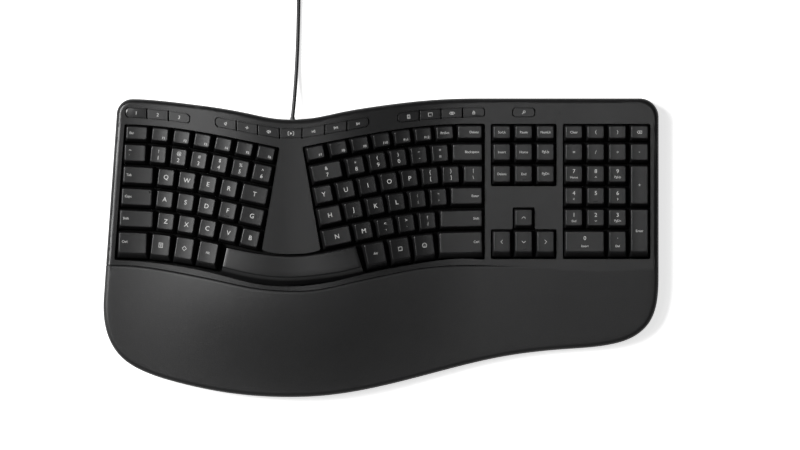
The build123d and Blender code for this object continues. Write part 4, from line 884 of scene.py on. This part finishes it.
def bar_section(length, drop, wall):
    """Closed section of the space bar: distance from the rear edge of the face, and height."""
    top, base = KEY_RISE - drop, KEY_RISE - KEY_HEIGHT
    section = [(-BAR_REAR_DRAFT, base)]
    section += [(inward, top - down) for inward, down in quarter_roll(BAR_REAR_ROLL)]
    level = length - BAR_REAR_ROLL - BAR_FRONT_ROLL
    section += [(BAR_REAR_ROLL + level * part, top) for part in BAR_FACE_SHARES]
    for step in range(BAR_FRONT_STEPS + 1):
        angle = BAR_FRONT_TURN * step / BAR_FRONT_STEPS
        section.append((
            length + BAR_FRONT_RADIUS * (math.sin(angle) - BAR_FRONT_START),
            top - BAR_FRONT_RADIUS * (1 - math.cos(angle))))
    edge, foot = section[-1], (length + BAR_FRONT_DRAFT, base)
    for part in BAR_WALL_SHARES:
        section.append((edge[0] + (foot[0] - edge[0]) * part, edge[1] + (foot[1] - edge[1]) * part))
    foot_walls, front_walls, rear_walls = BAR_HOLLOW
    return [
        *section, (length + BAR_FRONT_DRAFT - wall * foot_walls, base),
        (length - wall * front_walls, top - wall), (wall * rear_walls, top - wall),
        (wall - BAR_REAR_DRAFT, base)]


class KEYBOARD_OT_space_bar(bpy.types.Operator):
    """Builds the arched space bar with its rolled front edge"""

    bl_idname = "keyboard.space_bar"
    bl_label = "Space bar"

    def execute(self, context):
        wall = context.scene.keyboard_keycap.wall
        rear_line, front_line = (smooth_line(plan(line), BAR_STEPS) for line in zip(*SPACE_BAR_SHARES))
        # Steps of the rolled ends: how far in from the end, and how far down
        rolled = [(inward, down) for down, inward in quarter_roll(BAR_END_ROLL)]
        verts, faces, rings = [], [], []
        for n, (rear, front) in enumerate(zip(rear_line, front_line)):
            rear, front = Vector((*rear, 0)), Vector((*front, 0))
            toward = (front - rear).normalized()
            level = deck_height((rear.x + front.x) / 2)
            slices = [(0.0, 0.0)]
            if n == 0:
                slices = rolled[::-1]
            elif n == BAR_STEPS - 1:
                slices = [(-inward, down) for inward, down in rolled]
            sideways = Vector((-toward.y, toward.x, 0))
            for shift, drop in slices:
                rings.append(add_points(verts, [
                    rear + toward * along + sideways * shift + Vector((0, 0, level + height))
                    for along, height in bar_section((front - rear).length, drop, wall)]))
        bridge(faces, rings)
        faces.append(tuple(reversed(rings[0])))
        faces.append(tuple(rings[-1]))
        bar = new_piece(
            "space_bar_cap", verts, faces, "space_bar", key_finish(), ["space_bar"])
        mend(bar, BAR_CREASE)
        return {"FINISHED"}


# ---------------------------------------------------------------- deck

# A face lies on the crown if it looks along the crown's normal this closely and stands this near
CROWN_MATCH = 0.994
CROWN_GAP = 0.6 * MM
# Faces that turn less than this share one smooth normal
SMOOTH_MATCH = 0.8


class KEYBOARD_OT_deck(bpy.types.Operator):
    """Gives the deck its smooth crown and its finish"""

    bl_idname = "keyboard.deck"
    bl_label = "Deck"

    def execute(self, context):
        plastic = moulded("deck_plastic", chosen("deck"), 0.31)
        deck = edited_piece("deck_shell", welded("top_case"), BODY, plastic, "top_case")
        self.smooth(deck.data)
        return {"FINISHED"}

    def smooth(self, mesh):
        """Sets each corner's normal from the crown where the face lies on the deck."""
        mesh.polygons.foreach_set("use_smooth", [True] * len(mesh.polygons))
        flat = [polygon.normal.copy() for polygon in mesh.polygons]
        around = {}
        for polygon in mesh.polygons:
            for vertex in polygon.vertices:
                around.setdefault(vertex, []).append(polygon.index)
        normals = []
        for polygon in mesh.polygons:
            own = flat[polygon.index]
            for vertex in polygon.vertices:
                place = mesh.vertices[vertex].co
                crown = Vector((-crown_slope(place.x), 0, 1)).normalized()
                if own.dot(crown) > CROWN_MATCH and abs(place.z - deck_height(place.x)) < CROWN_GAP:
                    normals.append(crown)
                    continue
                blend = Vector()
                for other in around[vertex]:
                    if flat[other].dot(own) > SMOOTH_MATCH:
                        blend += flat[other] * mesh.polygons[other].area
                normals.append(blend.normalized() if blend.length else own)
        mesh.normals_split_custom_set([tuple(normal) for normal in normals])


# ---------------------------------------------------------------- palm rest

SEAM_SHARES = [
    (-13.4, -0.79), (-12.5, -0.80), (-11.2, -0.85), (-9.26, -1.14), (-7.32, -1.53),
    (-5.66, -1.87), (-4.40, -1.98), (-3.09, -1.95), (-1.56, -1.65), (0.28, -1.25),
    (1.82, -0.96), (3.05, -0.84), (4.40, -0.815), (13.4, -0.815),
]
FRONT_EDGE_SHARES = [
    (12.73, -1.10), (12.66, -2.45), (12.33, -3.40), (11.60, -4.08), (10.50, -4.45),
    (8.45, -4.66), (5.70, -4.98), (2.95, -5.61), (0.20, -6.31), (-2.55, -6.78),
    (-4.60, -6.85), (-6.65, -6.71), (-9.40, -6.17), (-10.79, -5.72), (-11.93, -5.01),
    (-12.48, -4.17), (-12.70, -3.30), (-12.72, -2.30),
]
# The edge's way at its left end, and its steps from there to the seam
LEFT_LEAN_SHARE = (0.0708, 1)
LEFT_STEPS = 6
# Sections of the palm rest: place, share of the deck's edge height and share of the crown's rise
PALM_SECTION_SHARES = [(-0.70, 1.0, 1.0), (-2.0, 0.95, 1.055), (-3.95, 0.83, 0.83), (-7.0, 0.62, 0.37)]
# The seam: the pad's gap to its line, and rows of points behind its edge, which rolls down
SEAM_GAP = 0.35 * MM
SEAM_BACKS = (0.0, 0.35 * MM, 0.8 * MM, 1.6 * MM, 3.0 * MM)
SEAM_ROLL_REACH = 0.6 * MM
# The pad's lower edge: its small chamfer, and how far it turns in under the pad
PAD_HEM = 0.4 * MM
PAD_FLANGE = 3.0 * MM
RIM_STEPS = 7
RIM_WALL_SHARES = (0.25, 0.5, 0.75)
SEAM_POINTS = 700
EDGE_POINTS = 420
# Rows of the face's points, and their gap to its outline, in spacings
FILL_ROW = 0.87
FILL_GAP = 0.6
PAD_CREASE = 50
PAD_WELD = 0.01 * MM


def palm_height(x, y):
    """Height of the palm rest's face: a cubic through its four sections."""
    rise = crown_rise(x)
    places = [share * PITCH for share, _, _ in PALM_SECTION_SHARES]
    heights = [flat * DECK_EDGE + crown * rise for _, flat, crown in PALM_SECTION_SHARES]
    total = 0
    for place, height in zip(places, heights):
        weight = 1
        for other in places:
            if other != place:
                weight *= (y - other) / (place - other)
        total += weight * height
    return total


class KEYBOARD_OT_palm_rest(bpy.types.Operator):
    """Builds the soft palm rest with its rolled rim and the seam to the deck"""

    bl_idname = "keyboard.palm_rest"
    bl_label = "Palm rest"

    def execute(self, context):
        settings = context.scene.keyboard_palm
        rim, parting = settings.rim_radius, settings.parting
        seam = smooth_line(plan(SEAM_SHARES), SEAM_POINTS)
        edge = self.outer_edge(seam)
        inward = []
        for n in range(len(edge)):
            way = edge[min(n + 1, len(edge) - 1)] - edge[max(n - 1, 0)]
            way = way / np.linalg.norm(way)
            inward.append(np.array((way[1], -way[0])))
        inward[0], inward[-1] = np.array((-1.0, 0.0)), np.array((1.0, 0.0))
        heights = [palm_height(*(place + way * rim)) for place, way in zip(edge, inward)]
        verts, faces = [], []

        def ring(inset, level):
            """Points along the edge, drawn in; level gives their height from the face's height."""
            return add_points(verts, [
                (*(place + way * inset), level(height))
                for place, way, height in zip(edge, inward, heights)])

        rings = [
            ring(PAD_FLANGE, lambda height: parting), ring(PAD_HEM, lambda height: parting),
            ring(0, lambda height: parting + PAD_HEM)]
        for part in RIM_WALL_SHARES:
            rings.append(ring(0, lambda height: parting + (height - rim - parting) * part))
        for step in range(RIM_STEPS + 1):
            angle = QUARTER * step / RIM_STEPS
            rings.append(ring(
                rim * (1 - math.cos(angle)), lambda height: height - rim * (1 - math.sin(angle))))
        bridge(faces, rings, closed=False)

        seam_line = [point for point in seam if edge[-1][0] + rim < point[0] < edge[0][0] - rim]
        rows = [add_points(verts, [
            (x, y - SEAM_GAP - back, self.face_height(x, y - SEAM_GAP - back, back, settings))
            for x, y in seam_line]) for back in SEAM_BACKS]
        wall = add_points(verts, [(x, y - SEAM_GAP, parting) for x, y in seam_line])
        bridge(faces, [wall, *rows], closed=False)
        # Side faces of the seam wall under the rolled rim
        faces.append((*(numbers[-1] for numbers in rings[1:]), rows[0][0], wall[0]))
        faces.append((*(numbers[0] for numbers in reversed(rings[1:])), wall[-1], rows[0][-1]))
        outline = [
            *rings[-1], *(row[0] for row in rows), *rows[-1][1:-1], *(row[-1] for row in reversed(rows))]
        self.fill(verts, faces, outline, settings.spacing)
        pad = new_piece(
            "palm_rest", verts, faces, BODY, leather("palm_leather", chosen("leather"), 0.42),
            ["palm_rest_pad"])
        mend(pad, PAD_CREASE, PAD_WELD)
        return {"FINISHED"}

    def outer_edge(self, seam):
        """The pad's outer edge, from the seam's right end round the front to its left end."""
        edge = smooth_line(plan(FRONT_EDGE_SHARES), EDGE_POINTS, start=(0, -1), end=LEFT_LEAN_SHARE)
        first, last = edge[0], edge[-1]
        lean = np.array(LEFT_LEAN_SHARE) / math.hypot(*LEFT_LEAN_SHARE)
        left, right = self.seam_y(seam, last[0]), self.seam_y(seam, first[0])
        for step in range(1, LEFT_STEPS + 1):
            edge.append(last + lean * (left - last[1]) * step / LEFT_STEPS)
        return [np.array((first[0], right + (first[1] - right) * part)) for part in (0, 0.5)] + edge

    def seam_y(self, seam, x):
        """Place of the pad's rear edge at a place along the keyboard."""
        below = max(n for n, point in enumerate(seam) if point[0] <= x)
        (x0, y0), (x1, y1) = seam[below], seam[below + 1]
        return y0 + (y1 - y0) * (x - x0) / (x1 - x0) - SEAM_GAP

    def face_height(self, x, y, back, settings):
        """Height of the face, rolled down where it meets the seam."""
        return palm_height(x, y) - settings.seam_roll * math.exp(-((back / SEAM_ROLL_REACH) ** 2))

    def fill(self, verts, faces, outline, spacing):
        """Fills the face inside an outline of point numbers with evenly spaced points."""
        places = [(verts[n][0], verts[n][1]) for n in outline]
        border = np.array(places)
        (low_x, low_y), (high_x, high_y) = border.min(axis=0), border.max(axis=0)
        spots, y, row = [], low_y, 0
        while y < high_y:
            x = low_x + (row % 2) * spacing / 2
            while x < high_x:
                if np.min(np.hypot(border[:, 0] - x, border[:, 1] - y)) > spacing * FILL_GAP:
                    spots.append((x, y))
                x += spacing
            y += spacing * FILL_ROW
            row += 1
        sides = [(n, (n + 1) % len(places)) for n in range(len(places))]
        made, _, triangles, origin, _, _ = delaunay_2d_cdt(
            [Vector(place) for place in places + spots], sides, [], 1, 1e-7)
        numbers = []
        for n, place in enumerate(made):
            source = origin[n][0] if origin[n] else len(places)
            if source < len(places):
                numbers.append(outline[source])
            else:
                numbers += add_points(verts, [(place.x, place.y, palm_height(place.x, place.y))])
        faces += [tuple(numbers[n] for n in triangle) for triangle in triangles]


# ---------------------------------------------------------------- hot keys and underside

# Dividers of the hot keys, in plan
HOT_KEY_SHARES = {
    "favourite_keys": [(-11.71, 6.20), (-10.72, 6.14), (-9.73, 6.04), (-8.75, 5.90)],
    "media_keys": [
        (-7.58, 5.76), (-6.61, 5.58), (-5.63, 5.39), (-4.63, 5.22), (-3.60, 5.23),
        (-2.56, 5.40), (-1.55, 5.58), (-0.56, 5.76)],
    "tool_keys": [(0.77, 5.94), (1.76, 6.06), (2.76, 6.14), (3.75, 6.185), (4.75, 6.21)],
    "search_key": [(6.03, 6.20), (7.05, 6.20)],
}
# Half a hot key's depth, and how far its face stands above the deck
HOT_KEY_HALF = 4.2 * MM
HOT_KEY_RISE = 0.2 * MM
HOT_KEY_SHARP = 35


def hot_frame(left, right):
    """Face frame of a hot key between two dividers."""
    start, end = (Vector((x, y, deck_height(x))) for x, y in (left, right))
    along = (end - start).normalized()
    normal = Vector((-(end.z - start.z), 0, end.x - start.x)).normalized()
    across = normal.cross(along).normalized()
    normal = along.cross(across)
    return {
        "origin": (start + end) / 2 + normal * HOT_KEY_RISE, "along": along, "across": across,
        "normal": normal, "half_u": (end - start).length / 2, "half_v": HOT_KEY_HALF, "dished": False}


class KEYBOARD_OT_hot_keys(bpy.types.Operator):
    """Finishes the flush hot keys of the deck's rear strip"""

    bl_idname = "keyboard.hot_keys"
    bl_label = "Hot keys"

    def execute(self, context):
        settings = context.scene.keyboard_keycap
        for node, shares in HOT_KEY_SHARES.items():
            line = plan(shares)
            KEY_FRAMES[node] = [hot_frame(left, right) for left, right in zip(line, line[1:])]
            keys = welded(node)
            for island in islands(keys):
                middle = sum((vert.co for vert in island), Vector()) / len(island)
                cap = min(KEY_FRAMES[node], key=lambda cap: (middle - cap["origin"]).xy.length)
                for vert in island:
                    off = vert.co - cap["origin"]
                    for way, half in (("along", "half_u"), ("across", "half_v")):
                        vert.co -= cap[way] * (off.dot(cap[way]) * settings.hot_key_inset / cap[half])
            tops = edited_piece(node + "_tops", keys, node, key_finish(), node)
            bevel(tops, settings.hot_key_edge, HOT_KEY_SHARP)
        return {"FINISHED"}


class KEYBOARD_OT_underside(bpy.types.Operator):
    """Finishes the base, legs, feet, screws and the layers inside"""

    bl_idname = "keyboard.underside"
    bl_label = "Base and inner layers"

    def execute(self, context):
        base = base_finish()
        steel = moulded(
            "plate_steel", (0.5, 0.5, 0.51), 0.35, grain_scale=3000, bump=0.02 * MM, metallic=1.0)
        foot = moulded("foot_rubber", chosen("rubber"), 0.75, grain_scale=1600, bump=0.06 * MM)
        for node, width, material in (
                ("bottom_case", 0, base), ("left_tilt_leg", 0.35 * MM, base),
                ("right_tilt_leg", 0.35 * MM, base), ("palm_rest_tray", 0, base),
                ("key_guide_frame", 0, moulded("guide_plastic", (0.004, 0.004, 0.004), 0.85, specular=0.12)),
                ("rubber_feet", 0.3 * MM, foot),
                ("dome_sheet", 0, moulded("dome_rubber", (0.55, 0.56, 0.56), 0.6)),
                ("switch_membrane", 0, moulded("membrane_film", (0.5, 0.52, 0.53), 0.3)),
                ("support_plate", 0, steel), ("case_screws", 0.2 * MM, steel),
                ("controller_board", 0, moulded("board_resin", (0.01, 0.09, 0.04), 0.4))):
            soften(node, width, material)
        return {"FINISHED"}


# ---------------------------------------------------------------- legends

# How each kind of legend stands on its key. For each of its texts: the size, the place across the
# face as a share of its half width and a shift in millimetres, and the place along it as a share of
# its half depth. The size "figure" is that of a digit or of a sign.
KINDS = {
    "letter": [("letter", 0, 0, 0)],
    "sign": [("sign", 0, 0, 0)],
    "word": [("word", 0, 0, 0)],
    "drawn": [("drawn", 0, 0, 0)],
    "pair": [("sign", 0, 0, 0.42), ("figure", 0, 0, -0.40)],
    "left pair": [("sign", -0.5, 0, 0.35), ("sign", -0.55, 0, -0.25)],
    "left word": [("word", -1, 2.4, 0)],
    "high left word": [("word", -1, 2.4, 0.12)],
    "right word": [("word", 1, -2.4, 0)],
    "high right word": [("word", 1, -2.4, 0.05)],
    "corner word": [("word", 1, -1.9, -0.5)],
    "digit": [("digit", 0, 0, 0.36), ("small word", 0, 0, -0.42)],
    "digit and arrow": [("digit", 0, 0, 0.36), ("small drawn", 0, 0, -0.4)],
}


def words(kind, text):
    """Legends of one kind, from texts with spaces between them."""
    return [(kind, word) for word in text.split()]


def pairs(upper, lower):
    """Legends with one sign above the other."""
    return [("pair", *signs) for signs in zip(upper, lower)]


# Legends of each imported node, from its left key to its right key
LEGENDS = {
    "escape_key": words("left word", "Esc"),
    "left_function_keys": words("corner word", "F1 F2 F3 F4 F5 F6"),
    "left_digit_keys": [("left pair", "~", "`"), *pairs("!@#$%^", "123456")],
    "tab_key": words("left word", "Tab"),
    "left_top_letter_keys": words("letter", "Q W E R T"),
    "caps_lock_key": words("left word", "Caps"),
    "left_home_letter_keys": words("letter", "A S D F G"),
    "left_shift_key": words("left word", "Shift"),
    "left_bottom_letter_keys": words("letter", "Z X C V B"),
    "left_modifier_keys": [("high left word", "Ctrl"), *words("drawn", "menu diamond"), ("word", "Alt")],
    "right_function_keys": [
        *words("corner word", "F7 F8 F9 F10 F11 F12"), ("word", "PrtScn"), ("right word", "Delete")],
    "right_digit_keys": pairs("&*()_+", "7890-="),
    "backspace_key": words("right word", "Backspace"),
    "right_top_letter_keys": [*words("letter", "Y U I O P"), *pairs("{}|", "[]\\")],
    "right_home_letter_keys": [*words("letter", "H J K L"), *pairs(":\"", ";'")],
    "enter_key": words("right word", "Enter"),
    "right_bottom_letter_keys": [*words("letter", "N M"), *pairs("<>?", ",./")],
    "right_shift_key": words("right word", "Shift"),
    "right_modifier_keys": [("word", "Alt"), *words("drawn", "square smile"), ("high right word", "Ctrl")],
    "lock_keys": words("word", "ScrLk Pause NumLk"),
    "insert_row_keys": words("word", "Insert Home PgUp"),
    "delete_row_keys": words("word", "Delete End PgDn"),
    "arrow_keys": words("drawn", "left up down right"),
    "number_clear_row_keys": [("word", "Clear"), *words("sign", "( )"), ("drawn", "erase")],
    "number_operator_keys": words("sign", "= / * -"),
    "number_seven_row_keys": [("digit", "7", "Home"), ("digit and arrow", "8", "up"), ("digit", "9", "PgUp")],
    "number_four_row_keys": [
        ("digit and arrow", "4", "left"), ("digit", "5"), ("digit and arrow", "6", "right")],
    "number_one_row_keys": [("digit", "1", "End"), ("digit and arrow", "2", "down"), ("digit", "3", "PgDn")],
    "number_zero_row_keys": [("digit", "0", "Insert"), ("digit", ".", "Del")],
    "number_plus_key": words("sign", "+"),
    "number_enter_key": words("word", "Enter"),
    "favourite_keys": words("sign", "1 2 3"),
    "media_keys": words("drawn", "quiet sun loud show previous play next"),
    "tool_keys": words("drawn", "sums snip view lock"),
    "search_key": words("drawn", "search"),
}

# Half sizes of the drawn signs
DRAWN_SIZE = 1.55 * MM
SMALL_DRAWN_SIZE = 1.0 * MM
DRAWN_SIZES = {
    "arrow_keys": 1.85 * MM, "left_modifier_keys": 1.9 * MM, "right_modifier_keys": 1.9 * MM,
    "media_keys": 1.65 * MM, "tool_keys": 1.65 * MM, "search_key": 1.65 * MM,
}
SMALL_WORD_SHARE = 0.92


def box(left, low, right, high):
    """The stroke of a rectangle."""
    return [(left, low), (right, low), (right, high), (left, high), (left, low)]


def arc(radius, first, last, steps, x=0.0, y=0.0, tall=None):
    """The stroke of an arc round a middle, between two angles in half turns."""
    angles = [math.pi * (first + (last - first) * n / steps) for n in range(steps + 1)]
    return [
        (x + radius * math.cos(angle), y + (tall or radius) * math.sin(angle)) for angle in angles]


# Drawn signs: open or closed strokes, in half sizes
SIGNS = {
    "up": [[(-0.9, -0.35), (0, 0.5), (0.9, -0.35)]],
    "down": [[(-0.9, 0.35), (0, -0.5), (0.9, 0.35)]],
    "left": [[(0.35, 0.9), (-0.5, 0), (0.35, -0.9)]],
    "right": [[(-0.35, 0.9), (0.5, 0), (-0.35, -0.9)]],
    "diamond": [[(0, 1.0), (-1.0, 0), (0, -1.0), (1.0, 0), (0, 1.0)]],
    "square": [box(-0.8, -0.8, 0.8, 0.8)],
    "menu": [
        box(-0.85, -1.0, 0.85, 1.0), [(-0.4, 0.45), (0.4, 0.45)], [(-0.4, 0.0), (0.4, 0.0)],
        [(-0.4, -0.45), (0.4, -0.45)]],
    "smile": [
        arc(1, 0, 2, 20), arc(0.45, 1.15, 1.85, 6), [(-0.34, 0.34), (-0.34, 0.2)],
        [(0.34, 0.34), (0.34, 0.2)]],
    "erase": [
        [(-1.3, 0), (-0.6, 0.75), (1.3, 0.75), (1.3, -0.75), (-0.6, -0.75), (-1.3, 0)],
        [(-0.2, 0.33), (0.6, -0.33)], [(-0.2, -0.33), (0.6, 0.33)]],
    "quiet": [
        [(-0.75, -0.3), (-0.35, -0.3), (0.2, -0.8), (0.2, 0.8), (-0.35, 0.3), (-0.75, 0.3), (-0.75, -0.3)],
        [(0.6, -0.15), (0.6, 0.15)]],
    "sun": [
        arc(0.4, 0, 2, 12), [(0, 0.7), (0, 0.95)], [(0, -0.7), (0, -0.95)], [(0.7, 0), (0.95, 0)],
        [(-0.7, 0), (-0.95, 0)]],
    "loud": [
        [(-0.9, -0.3), (-0.5, -0.3), (0.05, -0.8), (0.05, 0.8), (-0.5, 0.3), (-0.9, 0.3), (-0.9, -0.3)],
        [(0.4, -0.35), (0.55, 0), (0.4, 0.35)], [(0.75, -0.7), (1.0, 0), (0.75, 0.7)]],
    "show": [
        [(-0.85, 0.95), (-1.3, 0.95), (-1.5, 0.75), (-1.5, -0.75), (-1.3, -0.95), (-0.85, -0.95)],
        [(0.85, 0.95), (1.3, 0.95), (1.5, 0.75), (1.5, -0.75), (1.3, -0.95), (0.85, -0.95)],
        [(-0.3, 0.45), (0.5, 0), (-0.3, -0.45), (-0.3, 0.45)], [(-0.1, 0.15), (0.1, 0), (-0.1, -0.15)]],
    "previous": [[(-0.8, -0.6), (-0.8, 0.6)], [(0.7, 0.6), (-0.45, 0), (0.7, -0.6), (0.7, 0.6)]],
    "play": [
        [(-1.0, 0.6), (0.05, 0), (-1.0, -0.6), (-1.0, 0.6)], [(0.45, -0.6), (0.45, 0.6)],
        [(0.9, -0.6), (0.9, 0.6)]],
    "next": [[(0.8, -0.6), (0.8, 0.6)], [(-0.7, 0.6), (0.45, 0), (-0.7, -0.6), (-0.7, 0.6)]],
    "sums": [
        box(-0.65, -0.9, 0.65, 0.9), [(-0.3, 0.5), (0.3, 0.5)], [(-0.3, -0.1), (-0.1, -0.1)],
        [(0.1, -0.1), (0.3, -0.1)], [(-0.3, -0.5), (-0.1, -0.5)], [(0.1, -0.5), (0.3, -0.5)]],
    "snip": [
        [(0.45, -0.85), (-1.05, -0.85), (-1.05, 0.85), (1.05, 0.85), (1.05, -0.3)],
        [(0.75, -0.75), (1.15, -0.75)]],
    "view": [
        [(-1.35, 0), (-0.75, 0.6), (0.75, 0.6), (1.35, 0), (0.75, -0.6), (-0.75, -0.6), (-1.35, 0)],
        arc(0.4, 0, 2, 12)],
    "lock": [
        box(-0.55, -0.85, 0.55, 0.1), [(0, -0.5), (0, -0.25)], arc(0.35, 0, 1, 8, y=0.15, tall=0.65)],
    "search": [arc(0.55, 0, 2, 16, 0.3, 0.3), [(-0.12, -0.12), (-0.9, -0.9)]],
}


# A stroke is closed if its ends lie this near, in half sizes
STROKE_CLOSED = 0.01
# A ribbon's corner is wider than the ribbon by at most one over this
MITRE_LIMIT = 0.4


def strokes(lines, size, width):
    """Flat ribbons along the lines of a drawn sign, with mitred corners."""
    verts, faces = [], []
    for line in lines:
        points = [Vector((x * size, y * size)) for x, y in line]
        closed = (points[0] - points[-1]).length < size * STROKE_CLOSED
        if closed:
            points = points[:-1]
        count = len(points)
        first = len(verts)
        for n, point in enumerate(points):
            ways = []
            if closed or n:
                ways.append((point - points[(n - 1) % count]).normalized())
            if closed or n < count - 1:
                ways.append((points[(n + 1) % count] - point).normalized())
            sides = [Vector((-way.y, way.x)) for way in ways]
            side = sum(sides, Vector((0, 0))).normalized()
            spread = width / 2 / max(side.dot(sides[0]), MITRE_LIMIT)
            verts += [tuple(point + side * spread), tuple(point - side * spread)]
        for n in range(count if closed else count - 1):
            a, b = first + 2 * n, first + 2 * ((n + 1) % count)
            faces.append((a, a + 1, b + 1, b))
    return verts, faces


class Printer:
    """Collects texts and drawn signs, and prints them on the faces of a body's keys."""

    def __init__(self, settings):
        self.settings = settings
        self.jobs = []
        self.texts = {}

    def print_key(self, node, cap, kind, texts):
        """Queues the texts and drawn signs of a key."""
        settings = self.settings
        sizes = {
            "letter": settings.letter_size, "digit": settings.digit_size, "sign": settings.sign_size,
            "word": settings.word_size, "small word": settings.word_size * SMALL_WORD_SHARE,
            "drawn": DRAWN_SIZES.get(node, DRAWN_SIZE), "small drawn": SMALL_DRAWN_SIZE}
        for text, (size, share_u, shift, share_v) in zip(texts, KINDS[kind]):
            side = {-1: "LEFT", 1: "RIGHT"}.get(share_u, "CENTER")
            u, v = cap["half_u"] * share_u + shift * MM, cap["half_v"] * share_v
            if size == "figure":
                size = "digit" if text.isdigit() else "sign"
            drawn = text in SIGNS
            what = (text, sizes[size]) if drawn else self.text_key(text, sizes[size], side)
            self.jobs.append((node, cap, drawn, what, u, v))

    def text_key(self, text, size, side):
        """The key of a flat text object, made once for each text, size and side."""
        key = (text, round(size, 6), side)
        if key not in self.texts:
            curve = bpy.data.curves.new("print", "FONT")
            curve.body = text
            curve.size = size
            curve.align_x = side
            curve.resolution_u = 3
            self.texts[key] = new_object("print", curve)
        return key

    def flat_texts(self):
        """Points and faces of each text, with its middle height at zero; the objects are removed."""
        bpy.context.view_layer.update()
        graph = bpy.context.evaluated_depsgraph_get()
        flat = {}
        for key, holder in self.texts.items():
            mesh = bpy.data.meshes.new_from_object(holder.evaluated_get(graph))
            heights = [vertex.co.y for vertex in mesh.vertices]
            middle = (max(heights) + min(heights)) / 2
            flat[key] = (
                [(vertex.co.x, vertex.co.y - middle) for vertex in mesh.vertices],
                [tuple(polygon.vertices) for polygon in mesh.polygons])
            bpy.data.meshes.remove(mesh)
        for holder in self.texts.values():
            curve = holder.data
            bpy.data.objects.remove(holder)
            bpy.data.curves.remove(curve)
        return flat

    def print_all(self, depth):
        """Makes one printed piece for each body."""
        flat = self.flat_texts()
        ink = moulded("legend_ink", chosen("ink"), 0.5, bump=0.01 * MM)
        parts = {}
        for node, cap, drawn, what, u, v in self.jobs:
            verts, faces = parts.setdefault(node, ([], []))
            first = len(verts)
            if drawn:
                local, polygons = strokes(SIGNS[what[0]], what[1], self.settings.stroke)
            else:
                local, polygons = flat[what]
            dished = depth if cap.get("dished", True) else 0
            for x, y in local:
                rise = dish(cap, u + x, dished) + self.settings.lift
                verts.append(face_point(cap, u + x, v + y, rise))
            faces += [tuple(first + n for n in polygon) for polygon in polygons]
        for node, (verts, faces) in parts.items():
            new_piece(node + "_legends", verts, faces, node, ink, ())


class KEYBOARD_OT_legends(bpy.types.Operator):
    """Prints the letters, digits, words and signs on the keys"""

    bl_idname = "keyboard.legends"
    bl_label = "Legends"

    def execute(self, context):
        printer = Printer(context.scene.keyboard_legend)
        for node, legends in LEGENDS.items():
            caps = KEY_FRAMES[node]
            if len(caps) != len(legends):
                raise RuntimeError(f"{node} has {len(caps)} caps and {len(legends)} legends")
            for cap, (kind, *texts) in zip(caps, legends):
                printer.print_key(node, cap, kind, texts)
        printer.print_all(context.scene.keyboard_keycap.dish_depth)
        return {"FINISHED"}


# ---------------------------------------------------------------- panel

SETTINGS = {
    "keyboard_stage": StageSettings,
    "keyboard_keycap": KeycapSettings,
    "keyboard_legend": LegendSettings,
    "keyboard_finish": FinishSettings,
    "keyboard_cord": CordSettings,
    "keyboard_palm": PalmSettings,
}
OPERATORS = (
    KEYBOARD_OT_stage,
    KEYBOARD_OT_cord,
    KEYBOARD_OT_keycaps,
    KEYBOARD_OT_space_bar,
    KEYBOARD_OT_deck,
    KEYBOARD_OT_palm_rest,
    KEYBOARD_OT_hot_keys,
    KEYBOARD_OT_underside,
    KEYBOARD_OT_legends,
)


class KEYBOARD_PT_panel(bpy.types.Panel):
    """Lists the keyboard's makers in the sidebar"""

    bl_idname = "KEYBOARD_PT_panel"
    bl_label = "Keyboard"
    bl_space_type = "VIEW_3D"
    bl_region_type = "UI"
    bl_category = "Keyboard"

    def draw(self, context):
        layout = self.layout
        for operator in OPERATORS:
            layout.operator(operator.bl_idname)
        for name in SETTINGS:
            group = layout.box()
            settings = getattr(context.scene, name)
            for field in settings.bl_rna.properties:
                if field.identifier not in ("rna_type", "name"):
                    group.prop(settings, field.identifier)


def register():
    """Registers the settings, the makers and the panel."""
    for name, settings in SETTINGS.items():
        bpy.utils.register_class(settings)
        setattr(bpy.types.Scene, name, PointerProperty(type=settings))
    for maker in (*OPERATORS, KEYBOARD_PT_panel):
        bpy.utils.register_class(maker)


def unregister():
    """Takes the panel, the makers and the settings away."""
    for maker in (KEYBOARD_PT_panel, *reversed(OPERATORS)):
        bpy.utils.unregister_class(maker)
    for name, settings in SETTINGS.items():
        delattr(bpy.types.Scene, name)
        bpy.utils.unregister_class(settings)


def main():
    """Makes every piece in order."""
    register()
    bpy.ops.keyboard.stage()
    bpy.ops.keyboard.cord()
    bpy.ops.keyboard.keycaps()
    bpy.ops.keyboard.space_bar()
    bpy.ops.keyboard.deck()
    bpy.ops.keyboard.palm_rest()
    bpy.ops.keyboard.hot_keys()
    bpy.ops.keyboard.underside()
    bpy.ops.keyboard.legends()


if __name__ == "__main__":
    main()
